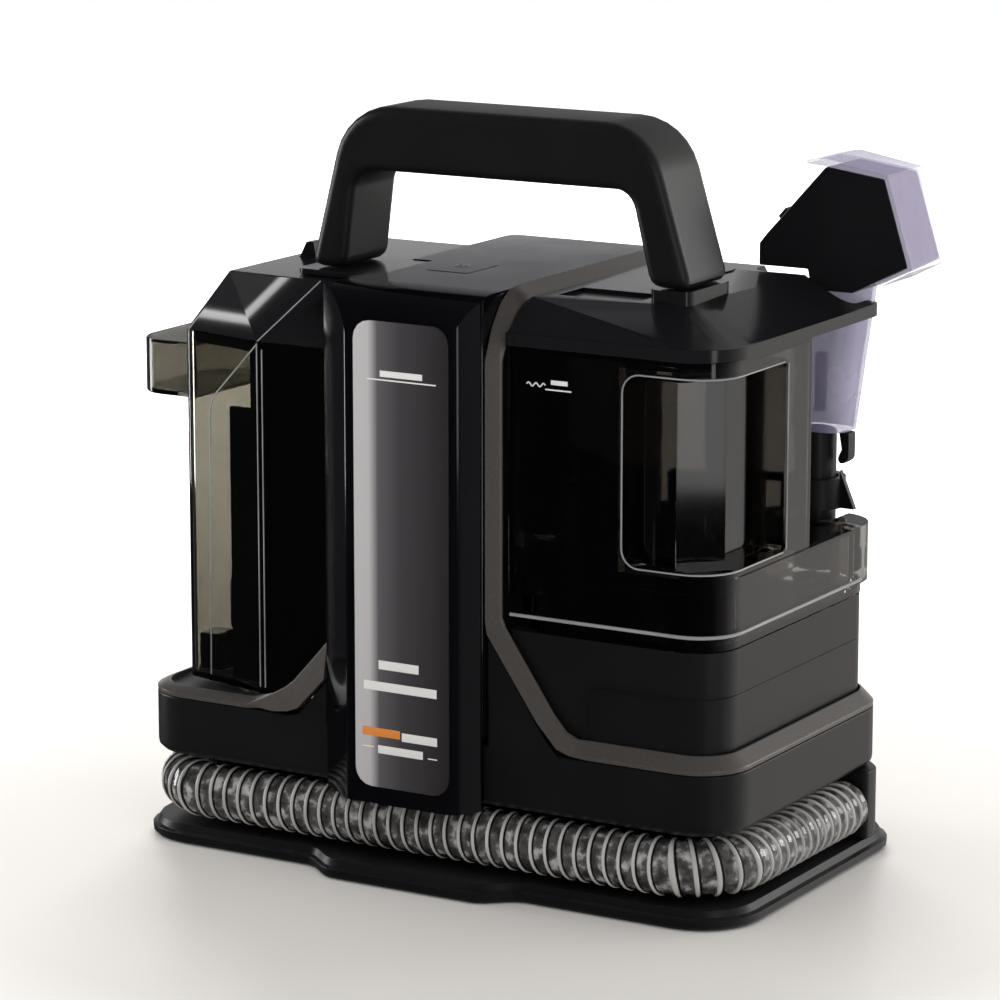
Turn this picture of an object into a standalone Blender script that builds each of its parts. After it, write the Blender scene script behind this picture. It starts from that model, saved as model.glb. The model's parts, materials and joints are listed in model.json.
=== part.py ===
"""Carpet cleaner machine: a portable spot cleaner as separate solids in their real places.

Sizes are in millimetres. While it is built, the origin is the centre of the base plate on the
floor; +X is the machine's right, +Y its back, +Z up. The last step shifts everything so that
the origin is the middle of the bounding box's underside.
"""

import math

import bmesh
import bpy
from mathutils import Matrix, Vector

MM = 0.001
GAP = 0.3
WALL = 2.5

# Base plate, hose groove and lower housing
BASE_HALF_X = 171.0
BASE_HALF_Y = 98.0
BASE_RADIUS = 32.0
FOOT_RADIUS = 9.0
FOOT_TOP = 3.0
HOSE_RADIUS = 14.2
HOSE_LINE = (157.5, 84.5, 31.0)
HOSE_Z = 26.5
TUB_X = 166.0
TUB_Y = (-95.0, 85.0)
TUB_RADIUS = 26.0
TUB_Z = (45.0, 75.0)
TRIM_INSET = 6.7
TRIM_TOP = 83.5
LEFT_TRIM_TOP = 80.0
DECK_Z = (75.3, 78.0)

# Tower between the two tanks
TOWER_X = (-48.0, 36.0)
TOWER_Y = (-94.7, 82.0)
TOWER_TOP = 289.5
COLUMN_FRONT = -112.0
BADGE_X = (-25.6, 26.9)
BADGE_Z = (51.5, 279.5)
DECK_TOP = 293.0

# Clean water tank on the right, its lower housing and the fixed top cover
PUMP_HOUSING_X = (45.5, 158.0)
PUMP_HOUSING_TOP = 132.0
CLEAN_X = (45.5, 160.0)
CLEAN_Y = (-90.0, 85.0)
CLEAN_BODY_Y = 7.0
CLEAN_Z = (132.4, 269.5)
LEDGE_TOP = 167.0
GRIP_Z = (170.0, 262.0)
COVER_Z = (270.0, 291.0)
TOOL_X = 125.0
TOOL_Y = 78.0

# Dirty water tank on the left
DIRTY_Z = (80.5, 257.5)
DIRTY_TOP = 289.2

# Carry handle
HANDLE_Y = (-60.0, -15.0)
WING_TOP = 292.6
COLLAR_TOP = 297.0

# Power button and the ports between tower and dirty tank
BUTTON_X = (-29.0, -4.5)
BUTTON_Y = (-41.3, -10.5)
BUTTON_CENTRE = (-16.75, -25.9)
AIR_PORT = (50.0, 238.0)
DRAIN_PORT = (20.0, 226.0)
FAN_CENTRE = (-6.0, 10.0)
OUTLET = (72.0, 148.0)


# ---------------------------------------------------------------- small modelling tools


def material(name, colour, roughness, metallic=0.0, alpha=1.0):
    """A Principled material with the part's colour and finish."""
    mat = bpy.data.materials.new(name)
    mat.use_nodes = True
    shader = mat.node_tree.nodes["Principled BSDF"]
    shader.inputs["Base Color"].default_value = (*colour, 1.0)
    shader.inputs["Roughness"].default_value = roughness
    shader.inputs["Metallic"].default_value = metallic
    shader.inputs["Alpha"].default_value = alpha
    return mat


def add_object(name, bm, mat):
    """Turn a bmesh in millimetres into a named object in metres."""
    bmesh.ops.remove_doubles(bm, verts=bm.verts, dist=0.001)
    bmesh.ops.recalc_face_normals(bm, faces=bm.faces)
    bmesh.ops.scale(bm, vec=(MM, MM, MM), verts=bm.verts)
    mesh = bpy.data.meshes.new(name)
    bm.to_mesh(mesh)
    bm.free()
    obj = bpy.data.objects.new(name, mesh)
    bpy.context.scene.collection.objects.link(obj)
    if mat:
        mesh.materials.append(mat)
    return obj


def apply_modifier(obj, modifier):
    bpy.context.view_layer.objects.active = obj
    bpy.ops.object.modifier_apply(modifier=modifier.name)


def boolean(obj, other, operation):
    """Cut, join or intersect with another solid, which is used up."""
    modifier = obj.modifiers.new("Boolean", "BOOLEAN")
    modifier.operation = operation
    modifier.object = other
    apply_modifier(obj, modifier)
    bpy.data.objects.remove(other)


def cut(obj, *cutters):
    for cutter in cutters:
        boolean(obj, cutter, "DIFFERENCE")


def join(obj, *others):
    for other in others:
        boolean(obj, other, "UNION")


def bevel(obj, width, segments=2, angle=40):
    """Round the edges sharper than the angle."""
    modifier = obj.modifiers.new("Bevel", "BEVEL")
    modifier.width = width * MM
    modifier.segments = segments
    modifier.limit_method = "ANGLE"
    modifier.angle_limit = math.radians(angle)
    apply_modifier(obj, modifier)


def rounded_outline(x0, x1, y0, y1, radius, steps=6):
    """Corner points of a rounded rectangle, counter-clockwise seen from above."""
    corners = (
        (x1 - radius, y0 + radius, -90),
        (x1 - radius, y1 - radius, 0),
        (x0 + radius, y1 - radius, 90),
        (x0 + radius, y0 + radius, 180),
    )
    points = []
    for cx, cy, start in corners:
        for i in range(steps + 1):
            a = math.radians(start + 90 * i / steps)
            points.append((cx + radius * math.cos(a), cy + radius * math.sin(a)))
    return points


def rounded_polygon(corners, steps=4):
    """A polygon whose corners (x, y, radius) are rounded."""
    points = []
    count = len(corners)
    for i, (x, y, radius) in enumerate(corners):
        here = Vector((x, y))
        before = Vector(corners[i - 1][:2]) - here
        after = Vector(corners[(i + 1) % count][:2]) - here
        if radius == 0:
            points.append((x, y))
            continue
        half = before.angle(after) / 2
        reach = radius / math.tan(half)
        centre = here + (before.normalized() + after.normalized()).normalized() * radius / math.sin(half)
        start = here + before.normalized() * reach - centre
        end = here + after.normalized() * reach - centre
        turn = start.angle_signed(end)
        for k in range(steps + 1):
            a = -turn * k / steps
            points.append(
                (
                    centre.x + start.x * math.cos(a) - start.y * math.sin(a),
                    centre.y + start.x * math.sin(a) + start.y * math.cos(a),
                )
            )
    return points


def skin(rings):
    """A closed solid through rings of equally many points."""
    bm = bmesh.new()
    rows = [[bm.verts.new(p) for p in ring] for ring in rings]
    count = len(rows[0])
    for lower, upper in zip(rows, rows[1:]):
        for i in range(count):
            j = (i + 1) % count
            bm.faces.new((lower[i], lower[j], upper[j], upper[i]))
    bm.faces.new(list(reversed(rows[0])))
    bm.faces.new(rows[-1])
    return bm


def prism(name, outline, z0, z1, mat=None):
    """An outline in the ground plane, raised from z0 to z1."""
    return add_object(name, skin([[(x, y, z) for x, y in outline] for z in (z0, z1)]), mat)


def side_prism(name, outline, y0, y1, mat=None):
    """An outline of (x, z) points, drawn out from y0 to y1."""
    return add_object(name, skin([[(x, y, z) for x, z in outline] for y in (y1, y0)]), mat)


def end_prism(name, outline, x0, x1, mat=None):
    """An outline of (y, z) points, drawn out from x0 to x1."""
    return add_object(name, skin([[(x, y, z) for y, z in outline] for x in (x0, x1)]), mat)


def box(name, x, y, z, mat=None):
    outline = ((x[0], y[0]), (x[1], y[0]), (x[1], y[1]), (x[0], y[1]))
    return prism(name, outline, z[0], z[1], mat)


def circle(radius, steps, centre=(0.0, 0.0)):
    turn = 2 * math.pi / steps
    return [
        (centre[0] + radius * math.cos(turn * i), centre[1] + radius * math.sin(turn * i))
        for i in range(steps)
    ]


def disc(name, centre, radius, z0, z1, mat=None, steps=32):
    return prism(name, circle(radius, steps, centre), z0, z1, mat)


def hull(name, lower, z0, upper, z1, mat=None):
    """The straight-sided solid between a lower and an upper outline."""
    bm = bmesh.new()
    for outline, z in ((lower, z0), (upper, z1)):
        for x, y in outline:
            bm.verts.new((x, y, z))
    bmesh.ops.convex_hull(bm, input=bm.verts)
    return add_object(name, bm, mat)


def pipe(name, points, radius, mat, resolution=3, wall=0.0):
    """A round tube on a poly line; with a wall, its bore stays open."""
    curve = bpy.data.curves.new(name, "CURVE")
    curve.dimensions = "3D"
    curve.bevel_depth = radius * MM
    curve.bevel_resolution = resolution
    curve.use_fill_caps = wall == 0
    line = curve.splines.new("POLY")
    line.points.add(len(points) - 1)
    for target, point in zip(line.points, points):
        target.co = (*(Vector(point) * MM), 1.0)
    obj = bpy.data.objects.new(name, curve)
    bpy.context.scene.collection.objects.link(obj)
    curve.materials.append(mat)
    if wall:
        solidify = obj.modifiers.new("Wall", "SOLIDIFY")
        solidify.thickness = wall * MM
        solidify.offset = -1
    return obj


def smooth_route(points, spacing):
    """Points at an even spacing on a smooth curve through the given ones."""
    nodes = [Vector(p) for p in points]
    nodes = [2 * nodes[0] - nodes[1]] + nodes + [2 * nodes[-1] - nodes[-2]]
    fine = []
    for a, b, c, d in zip(nodes, nodes[1:], nodes[2:], nodes[3:]):
        for k in range(24):
            t = k / 24
            square = (2 * a - 5 * b + 4 * c - d) * t**2
            cube = (3 * b - a - 3 * c + d) * t**3
            fine.append(0.5 * (2 * b + (c - a) * t + square + cube))
    fine.append(nodes[-2])
    lengths = [0.0]
    for a, b in zip(fine, fine[1:]):
        lengths.append(lengths[-1] + (b - a).length)
    count = max(2, round(lengths[-1] / spacing))
    route = []
    k = 0
    for i in range(count + 1):
        target = lengths[-1] * i / count
        while k < len(fine) - 2 and lengths[k + 1] < target:
            k += 1
        share = (target - lengths[k]) / (lengths[k + 1] - lengths[k])
        route.append(fine[k].lerp(fine[k + 1], share))
    return route


def set_origin(obj, point):
    """Put a moving piece's origin on its joint's axis."""
    place = Vector(point) * MM
    obj.data.transform(Matrix.Translation(-place))
    obj.location = place


# ---------------------------------------------------------------- base and lower housing


def base_outline(inset):
    """The base plate's edge, with the rounded bulge under the column."""
    x = BASE_HALF_X - inset
    y = BASE_HALF_Y - inset
    edge = rounded_outline(-x, x, -y, y, BASE_RADIUS - inset)
    front = []
    for i in range(25):
        px = -64 + 124 * i / 24
        rise = min(max((px + 64) / 22, 0), 1) * min(max((60 - px) / 22, 0), 1)
        front.append((px, -y - 13 * rise * rise * (3 - 2 * rise)))
    return front + edge


def base_plate(mat):
    levels = ((0.6, 1.5), (2.2, 0.0), (5.4, 0.0), (6.2, 2.5), (9.6, 4.0))
    rings = [[(x, y, z) for x, y in base_outline(inset)] for z, inset in levels]
    plate = add_object("base_plate", skin(rings), mat)
    for x, y in foot_places().values():
        cut(plate, disc("pocket", (x, y), FOOT_RADIUS + GAP, -5.0, FOOT_TOP + GAP, None, 24))


def foot_places():
    """The four rubber feet's names and centres."""
    places = {}
    for side_x, name_x in ((-1, "left"), (1, "right")):
        for side_y, name_y in ((-1, "front"), (1, "back")):
            places[f"rubber_foot_{name_y}_{name_x}"] = (side_x * 138.0, side_y * 68.0)
    return places


def feet(mat):
    for name, centre in foot_places().items():
        disc(name, centre, FOOT_RADIUS, 0.0, FOOT_TOP, mat, 24)


def hose_core(mat):
    """The waist that the hose is wound around."""
    x = HOSE_LINE[0] - HOSE_RADIUS - 0.6
    y = HOSE_LINE[1] - HOSE_RADIUS - 0.6
    r = HOSE_LINE[2] - HOSE_RADIUS
    rings = []
    for z in (9.9, 44.7):
        rings.append([(px, py, z) for px, py in rounded_outline(-x, x, -y, y, r, 5)])
    core = add_object("hose_core", skin(rings), mat)
    cavity = prism("c", rounded_outline(-x + 4, x - 4, -y + 4, y - 4, r - 4, 5), 5.0, 41.0)
    cut(core, cavity)


def tub_outline(inset, steps=6):
    x0, x1 = inset - TUB_X, TUB_X - inset
    return rounded_outline(x0, x1, TUB_Y[0] + inset, TUB_Y[1] - inset, TUB_RADIUS - inset, steps)


def tub_shell(mat):
    """The lower housing, with the two shoulders that carry the slanting trims."""
    z0, z1 = TUB_Z
    levels = ((z0, 3.0), (z0 + 3, 0.0), (z1, 0.0))
    tub = add_object("tub_shell", skin([[(x, y, z) for x, y in tub_outline(i)] for z, i in levels]), mat)
    right = side_prism("r", ((38.2, 70), (76, 70), (76, z1), (70, 81.5), (38.2, 130.5)), -95.0, -90.0)
    left = side_prism("l", ((-76, 70), (-53.2, 70), (-53.2, 95.5), (-70, 76.5), (-76, z1)), -95.0, -90.0)
    join(tub, right, left)
    cut(tub, prism("c", tub_outline(3.0), z0 + 3, z1 + 60))


def lower_deck(mat):
    """The plate that closes the lower housing and carries tower, tank and pump housing."""
    outline = rounded_outline(-158.9, 158.9, -87.9, 77.9, 19, 6)
    deck = prism("lower_deck", outline, *DECK_Z, mat)
    cut(deck, box("c", (-30, 18), (-40, 40), (60, 90)), box("c", (70, 130), (-40, 40), (60, 90)))
    cut(deck, box("c", (2, 28), (52, 77), (60, 90)))


def trim_sections(inner_top, outline):
    """Cross-sections of the chamfered band along the lower housing's upper edge."""
    inner = [Vector(p) for p in outline[1]]
    sections = []
    for i, (x, y) in enumerate(outline[0]):
        far = inner[i]
        near = Vector((x, y)).lerp(far, 0.86)
        outer = ((x, y, 75.3), (x, y, 77.3), (near.x, near.y, inner_top))
        sections.append((*outer, (far.x, far.y, inner_top), (far.x, far.y, 75.3)))
    return sections


def right_trim(mat):
    """The band from the deck's right edge down the column, across and round to the back."""
    outer = tub_outline(0.0)
    inner = tub_outline(TRIM_INSET)
    run = [((92.0, TUB_Y[0]), (92.0, TUB_Y[0] + TRIM_INSET))]
    run += list(zip(outer, inner))[:14]
    run += [((48.0, TUB_Y[1]), (48.0, TUB_Y[1] - TRIM_INSET))]
    low = trim_sections(TRIM_TOP, list(zip(*run)))
    # outer edge (x, z), inner edge (x, z) of the slanting and upright stretch on the front
    rising = (
        (84.0, 76.8, 86.5, 84.2),
        (77.0, 79.2, 80.0, 87.0),
        (66.5, 90.5, 73.0, 95.0),
        (38.8, 130.6, 46.6, 133.6),
        (37.9, 137.0, 44.6, 138.5),
        (37.9, 262.0, 44.6, 262.0),
    )
    front = []
    for xa, za, xb, zb in rising:
        front.append(((xa, -91.0, za), (xa, -97.0, za), (xb - 1, -93.2, zb), (xb, -92.0, zb), (xb, -91.0, zb)))
    top = []
    for y, drop in ((-88.0, 17.0), (-80.0, 6.5), (-72.0, 1.5), (-64.0, 0.0), (78.0, 0.0)):
        z = DECK_TOP + 1.5 - drop
        top.append(((37.0, y, z - 7), (36.6, y, z), (42.5, y, z - 3.5), (44.6, y, z - 5.5), (44.6, y, z - 9)))
    sections = list(reversed(top)) + list(reversed(front)) + low
    add_object("right_trim", skin(sections), mat)


def left_trim(mat):
    """The band round the left side that rises to the column on the front."""
    outer = tub_outline(0.0)
    inner = tub_outline(TRIM_INSET)
    run = [((-52.0, TUB_Y[1]), (-52.0, TUB_Y[1] - TRIM_INSET))]
    run += list(zip(outer, inner))[14:28]
    run += [((-100.0, TUB_Y[0]), (-100.0, TUB_Y[0] + TRIM_INSET))]
    low = trim_sections(LEFT_TRIM_TOP, list(zip(*run)))
    rising = (
        (-84.0, 76.3, -86.0, 84.5),
        (-75.0, 77.4, -79.0, 88.5),
        (-69.0, 79.8, -74.0, 92.5),
        (-53.6, 96.2, -54.6, 114.0),
    )
    front = []
    for xa, za, xb, zb in rising:
        front.append(((xa, -91.0, za), (xa, -97.0, za), (xb + 1, -93.2, zb), (xb, -92.0, zb), (xb, -91.0, zb)))
    add_object("left_trim", skin(low + front), mat)


# ---------------------------------------------------------------- tower between the tanks


def column_profile(inset):
    """Side view (y, z) of the column front: upright, then rounding back into the deck."""
    front = COLUMN_FRONT + inset
    radius = 24.0 - inset
    points = [(-80.0, 43.0), (front, 43.0)]
    for i in range(7):
        a = math.radians(180 - 90 * i / 6)
        points.append((front + radius * (1 + math.cos(a)), DECK_TOP - 24.0 + radius * math.sin(a)))
    points.append((-80.0, DECK_TOP - inset))
    return points


def column_cover(mat):
    """The glossy front of the tower, open at the back, with the badge's shallow recess."""
    outer = end_prism("column_cover", column_profile(0.0), -60.0, 44.0, mat)
    plan = rounded_polygon(
        (
            (-52.6, -95.3, 0), (-30.0, -112.1, 5), (29.0, -112.1, 9), (37.2, -98.5, 2),
            (36.3, -95.3, 0), (36.3, -70, 0), (-47.7, -70, 0), (-47.7, -95.3, 0),
        )
    )
    boolean(outer, prism("p", plan, 40.0, 300.0), "INTERSECT")
    hollow = rounded_polygon(
        (
            (-45.0, -95.0, 0), (-28.0, -109.2, 3), (26.5, -109.2, 6),
            (33.5, -95.0, 0), (33.5, -60, 0), (-45.0, -60, 0),
        )
    )
    inner = end_prism("i", column_profile(3.0), -60.0, 44.0)
    boolean(inner, prism("h", hollow, 46.0, 300.0), "INTERSECT")
    cut(outer, inner)
    cut(outer, box("b", (-60, 60), (-95.0, -60), (30, 268)))
    badge = rounded_outline(BADGE_X[0] - GAP, BADGE_X[1] + GAP, BADGE_Z[0] - GAP, BADGE_Z[1] + GAP, 9.3, 4)
    cut(outer, side_prism("s", badge, -113.0, -110.4))


def badge_panel(mat):
    outline = rounded_outline(*BADGE_X, *BADGE_Z, 9.0, 4)
    side_prism("badge_panel", outline, -112.3, -110.7, mat)


def tower_shell(mat):
    """Two side walls and a top, open to the column cover in front and the rear panel."""
    tower = box("tower_shell", TOWER_X, TOWER_Y, (DECK_Z[1] + GAP, TOWER_TOP), mat)
    cut(tower, box("c", (TOWER_X[0] + WALL, TOWER_X[1] - WALL), (-120, 120), (60, TOWER_TOP - WALL)))
    cut(tower, box("c", (-60, 60), (-120, -79.7), (267.7, 300)))
    duct_port = end_prism("d", circle(11, 24, AIR_PORT), -60, -40)
    drain_port = end_prism("d", circle(11, 24, DRAIN_PORT), -60, -40)
    button_hole = box("b", (BUTTON_X[0] - 1, BUTTON_X[1] + 1), (BUTTON_Y[0] - 1, BUTTON_Y[1] + 1), (280, 300))
    cut(tower, duct_port, drain_port, button_hole)


def top_deck(mat):
    """The glossy panel on top of the tower, with the button's opening."""
    outline = rounded_polygon(((-51.5, -79.7, 0), (36.2, -79.7, 0), (36.2, 82.0, 6), (-51.5, 82.0, 6)))
    deck = prism("top_deck", outline, TOWER_TOP + GAP, DECK_TOP, mat)
    hole = rounded_outline(BUTTON_X[0] - GAP, BUTTON_X[1] + GAP, BUTTON_Y[0] - GAP, BUTTON_Y[1] + GAP, 2.3, 4)
    cut(deck, prism("c", hole, 280, 300))
    cut(deck, box("w", (-60.0, -40.7), (-60.3, -14.7), (280, 300)))


def power_button(mat):
    """The push button, flush with the deck; it travels 1 mm."""
    outline = rounded_outline(*BUTTON_X, *BUTTON_Y, 2.0, 4)
    button = prism("power_button", outline, 290.2, DECK_TOP + 0.2, mat)
    set_origin(button, (*BUTTON_CENTRE, 290.2))


def rear_panel(mat):
    """The louvred exhaust panel at the back of the tower."""
    panel = box("rear_panel", (TOWER_X[0], TOWER_X[1]), (82.3, 85.0), (84.0, TOWER_TOP), mat)
    for i in range(9):
        z = 190 + 9.0 * i
        cut(panel, box("c", (-36, 24), (70, 100), (z, z + 4.5)))


def cord_inlet(mat):
    """The gland where the mains lead leaves the tub's back."""
    gland = side_prism("cord_inlet", circle(8.0, 24, (-20.0, 60.0)), 85.3, 95.0, mat)
    cut(gland, side_prism("c", circle(4.0, 24, (-20.0, 60.0)), 87.5, 110.0))


# ---------------------------------------------------------------- fan, pump and electrics


def vacuum_motor(mat):
    motor = disc("vacuum_motor", FAN_CENTRE, 30.0, 152.0, 205.0, mat, 32)
    join(motor, disc("b", FAN_CENTRE, 14.0, 200.0, 218.0, None, 24))


def fan_housing(mat):
    """The can round the impeller, open at its underside."""
    can = disc("fan_housing", FAN_CENTRE, 38.0, 121.0, 151.7, mat, 36)
    cut(can, disc("c", FAN_CENTRE, 35.5, 123.5, 149.2, None, 36))
    cut(can, disc("c", FAN_CENTRE, 14.0, 118.0, 126.0, None, 24))
    cut(can, box("c", (-16, 4), (40, 60), (130, 145)))


def impeller(mat):
    """A backing disc with eight curved vanes."""
    wheel = disc("impeller", (0.0, 0.0), 33.0, 144.0, 146.0, mat, 36)
    join(wheel, disc("h", (0.0, 0.0), 7.0, 130.0, 145.0, None, 20))
    for k in range(8):
        outline = []
        for side in (-0.8, 0.8):
            arc = []
            for i in range(5):
                r = 10 + 22 * i / 4
                a = 2 * math.pi * k / 8 + 0.5 * i / 4
                arc.append((r * math.cos(a) - side * math.sin(a), r * math.sin(a) + side * math.cos(a)))
            outline += arc if side < 0 else list(reversed(arc))
        join(wheel, prism("v", outline, 129.0, 145.0))
    wheel.data.transform(Matrix.Translation(Vector((*FAN_CENTRE, 0.0)) * MM))
    set_origin(wheel, (*FAN_CENTRE, 137.0))


def air_duct(mat):
    """The bent pipe from the dirty tank's air port to the fan's eye."""
    route = (
        (-45.0, 50.0, 238.0), (-36.0, 50.0, 238.0), (-27.0, 53.0, 230.0), (-24.0, 62.0, 210.0),
        (-22.0, 65.0, 170.0), (-20.0, 64.0, 120.0), (-16.0, 48.0, 99.0), (-10.0, 26.0, 97.0),
        (-6.0, 12.0, 105.0), (-6.0, 10.0, 120.6),
    )
    pipe("air_duct", smooth_route(route, 9.0), 9.5, mat, 3, 1.6)


def suction_pipe(mat):
    """The pipe that brings dirty water from the hose port to the dirty tank."""
    route = (
        (124.0, 70.0, 58.0), (96.0, 66.0, 59.0), (50.0, 64.0, 59.0), (26.0, 64.5, 61.0),
        (16.0, 65.0, 74.0), (15.0, 65.5, 110.0), (15.0, 65.5, 180.0), (10.0, 58.0, 211.0),
        (-12.0, 32.0, 227.0), (-34.0, 20.5, 226.0), (-45.0, 20.0, 226.0),
    )
    pipe("suction_pipe", smooth_route(route, 9.0), 8.0, mat, 2, 1.6)


def exhaust_filter(mat):
    """The foam block behind the louvres."""
    box("exhaust_filter", (-38.0, 26.0), (75.0, 81.6), (186.0, 272.0), mat)


def mains_switch(mat):
    """The switch under the power button."""
    x, y = BUTTON_CENTRE
    switch = box("mains_switch", (x - 10.0, x + 10.0), (y - 9.5, y + 9.5), (266.0, 286.5), mat)
    join(switch, disc("p", (x, y), 3.5, 280.0, 288.3, None, 16))


def water_pump(mat):
    pump = box("water_pump", (78, 112), (-30, 0), (84.0, 108.0), mat)
    join(pump, end_prism("m", circle(13.0, 24, (-15.0, 96.0)), 108.0, 146.0))


def heater_block(mat):
    """The water heater with the pipe stubs at its ends."""
    block = box("heater_block", (62, 138), (16, 48), (50.0, 72.0), mat)
    join(block, end_prism("a", circle(5.0, 16, (24.0, 61.0)), 50.0, 70.0))
    join(block, end_prism("b", circle(5.0, 16, (40.0, 61.0)), 50.0, 70.0))


def control_board(mat):
    """The circuit board behind the column cover, with relay, transformer and capacitor."""
    board = box("control_board", (-38, 26), (-84.0, -82.4), (110, 240), mat)
    join(board, box("r", (-30, -10), (-83.0, -66), (120, 140)))
    join(board, box("t", (-6, 20), (-83.0, -62), (150, 174)))
    join(board, side_prism("k", circle(7.0, 20, (-20.0, 190.0)), -83.0, -60.0))


def water_tube(mat):
    """The tube from the pump to the heater."""
    route = (
        (95.0, 0.4, 92.0), (95.0, 7.0, 92.0), (97.0, 18.0, 91.0),
        (100.0, 27.0, 86.0), (100.0, 28.0, 78.0), (100.0, 28.0, 72.4),
    )
    pipe("water_tube", smooth_route(route, 6.0), 3.2, mat, 2)


# ---------------------------------------------------------------- clean water side


def pump_housing(mat):
    """The satin box under the clean tank, open below, with a slot for the hose at the back."""
    housing = prism("pump_housing", pump_housing_plan(0.0), DECK_Z[1] + GAP, PUMP_HOUSING_TOP, mat)
    cut(housing, prism("c", pump_housing_plan(3.0), 60.0, PUMP_HOUSING_TOP - 3))


def pump_housing_plan(inset):
    """A rounded rectangle with the hose's slot in its back edge."""
    x0, x1 = PUMP_HOUSING_X[0] + inset, PUMP_HOUSING_X[1] - inset
    y0, y1 = -87.6 + inset, 77.6 - inset
    s0, s1, s = 102.0 - inset, 139.8 + inset, 61.0 - inset
    corners = (
        (x0, y0, 3), (x1, y0, 21 - inset), (x1, y1, 18 - 2 * inset), (s1, y1, 0),
        (s1, s, 6), (s0, s, 6), (s0, y1, 0), (x0, y1, 6),
    )
    return rounded_polygon(corners, 5)


def tool_bay(x0, x1, y0):
    """Cutter of the pocket in which the tool stands, open to the back."""
    return rounded_polygon(((x0, y0, 9), (x1, y0, 9), (x1, 120.0, 0), (x0, 120.0, 0)))


def clean_tank(mat):
    """The smoke tank: full depth at its foot, an L above it that leaves the tool its bay."""
    z0, z1 = CLEAN_Z
    foot_rings = []
    for z, inset in ((z0, 2.5), (138.0, 2.5), (138.3, 0.0), (LEDGE_TOP, 0.0)):
        span_x = (CLEAN_X[0] + inset, CLEAN_X[1] - inset)
        ring = rounded_outline(*span_x, CLEAN_Y[0] + inset, CLEAN_Y[1] - inset, 22, 6)
        foot_rings.append([(x, y, z) for x, y in ring])
    tank = add_object("clean_tank", skin(foot_rings), mat)
    body = rounded_polygon(
        (
            (45.5, -90, 3), (159.0, -90, 21), (159.0, CLEAN_BODY_Y, 3),
            (103.0, CLEAN_BODY_Y, 3), (103.0, 68, 6), (45.5, 68, 6),
        ),
        6,
    )
    join(tank, prism("b", body, 150.0, z1))
    foot_hollow = rounded_outline(50.5, 155.0, -85.0, 64.0, 17, 6)
    cut(tank, prism("c", foot_hollow, z0 + 2.5, LEDGE_TOP - WALL))
    body_hollow = rounded_polygon(
        (
            (48.0, -87.5, 2), (156.5, -87.5, 19), (156.5, 4.5, 2),
            (100.5, 4.5, 3), (100.5, 64.0, 4), (48.0, 64.0, 4),
        ),
        6,
    )
    cut(tank, prism("c", body_hollow, 160.0, z1 - WALL))
    low, high = GRIP_Z
    recess = end_prism("g", rounded_outline(-92.0, -20.0, low, high, 6.0, 4), 106.0, 175.0)
    boolean(recess, prism("w", grip_recess_plan(), 150.0, 270.0), "INTERSECT")
    boolean(recess, side_prism("r", rounded_outline(108.0, 200.0, low, high, 9.0, 5), -110.0, 10.0), "INTERSECT")
    wall = end_prism("w", rounded_outline(-96.0, -18.0, low - WALL, high + WALL, 8.5, 4), 104.0, 175.0)
    boolean(wall, prism("p", grip_wall_plan(), 150.0, 268.0), "INTERSECT")
    join(tank, wall)
    cut(tank, recess)
    cut(tank, prism("c", tool_bay(TOOL_X - 17, TOOL_X + 16, 61.5), 125.0, LEDGE_TOP + 1))
    cut(tank, box("d", (44.0, 100.0), (68.3, 90.0), (125.0, 290.0)))
    cut(tank, disc("f", (78.0, 40.0), 15.0, 255.0, 290.0, None, 28))
    cut(tank, side_prism("o", circle(5.0, 20, OUTLET), 60.0, 75.0))


def grip_recess_plan():
    """Plan of the hand recess that takes the tank's front right corner."""
    inner = ((108.0, -100.0), (108.0, -79.0), (131.0, -79.0), (148.0, -62.0), (148.0, -20.0))
    return (*inner, (175.0, -20.0), (175.0, -100.0))


def grip_wall_plan():
    """Plan of the tank wall behind the recess, inside the tank's outline."""
    inner = ((105.5, -88.5), (105.5, -76.5), (130.0, -76.5), (145.5, -61.0), (145.5, -17.5))
    return (*inner, (157.5, -17.5), (157.5, -66.0), (137.0, -88.5))


def top_cover(mat):
    """The fixed chamfered cover over the clean tank, notched at the back for the tool."""
    lower = rounded_polygon(((45.2, -91.5, 2), (161.0, -91.5, 26), (161.0, 81.0, 12), (45.2, 81.0, 2)), 5)
    upper = ((50.5, -73.5), (118.0, -62.0), (125.0, -55.0), (132.0, 48.0), (132.0, 66.0), (50.5, 66.0))
    skirt = prism("top_cover", lower, COVER_Z[0], 276.0, mat)
    join(skirt, hull("h", lower, 275.0, upper, COVER_Z[1]))
    hollow_low = rounded_polygon(((48.0, -88.5, 2), (158.0, -88.5, 23), (158.0, 78.0, 9), (48.0, 78.0, 2)), 5)
    hollow_high = ((53.5, -70.5), (117.0, -59.5), (122.5, -54.0), (129.0, 47.0), (129.0, 63.0), (53.5, 63.0))
    inner = prism("i", hollow_low, 260.0, 275.0)
    join(inner, hull("h", hollow_low, 274.0, hollow_high, COVER_Z[1] - 3))
    cut(skirt, inner)
    cut(skirt, prism("n", tool_bay(102.0, 156.0, 50.0), 260.0, 300.0))
    cut(skirt, disc("f", (78.0, 40.0), 19.0, 280.0, 300.0, None, 32))
    cut(skirt, box("s", (58.0, 100.5), (-63.0, -38.0), (289.4, 300.0)))
    join(skirt, prism("b", rounded_outline(104.2, 126.4, *HANDLE_Y, 6.0, 4), 289.0, COLLAR_TOP))


def filler_cap(mat):
    """The round flap over the tank's filler, hinged at its back edge."""
    cap = disc("filler_cap", (78.0, 40.0), 18.6, 288.3, 291.6, mat, 32)
    join(cap, box("t", (72, 84), (19, 30), (291.3, 293.4)))
    set_origin(cap, (78.0, 58.6, 291.6))


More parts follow.
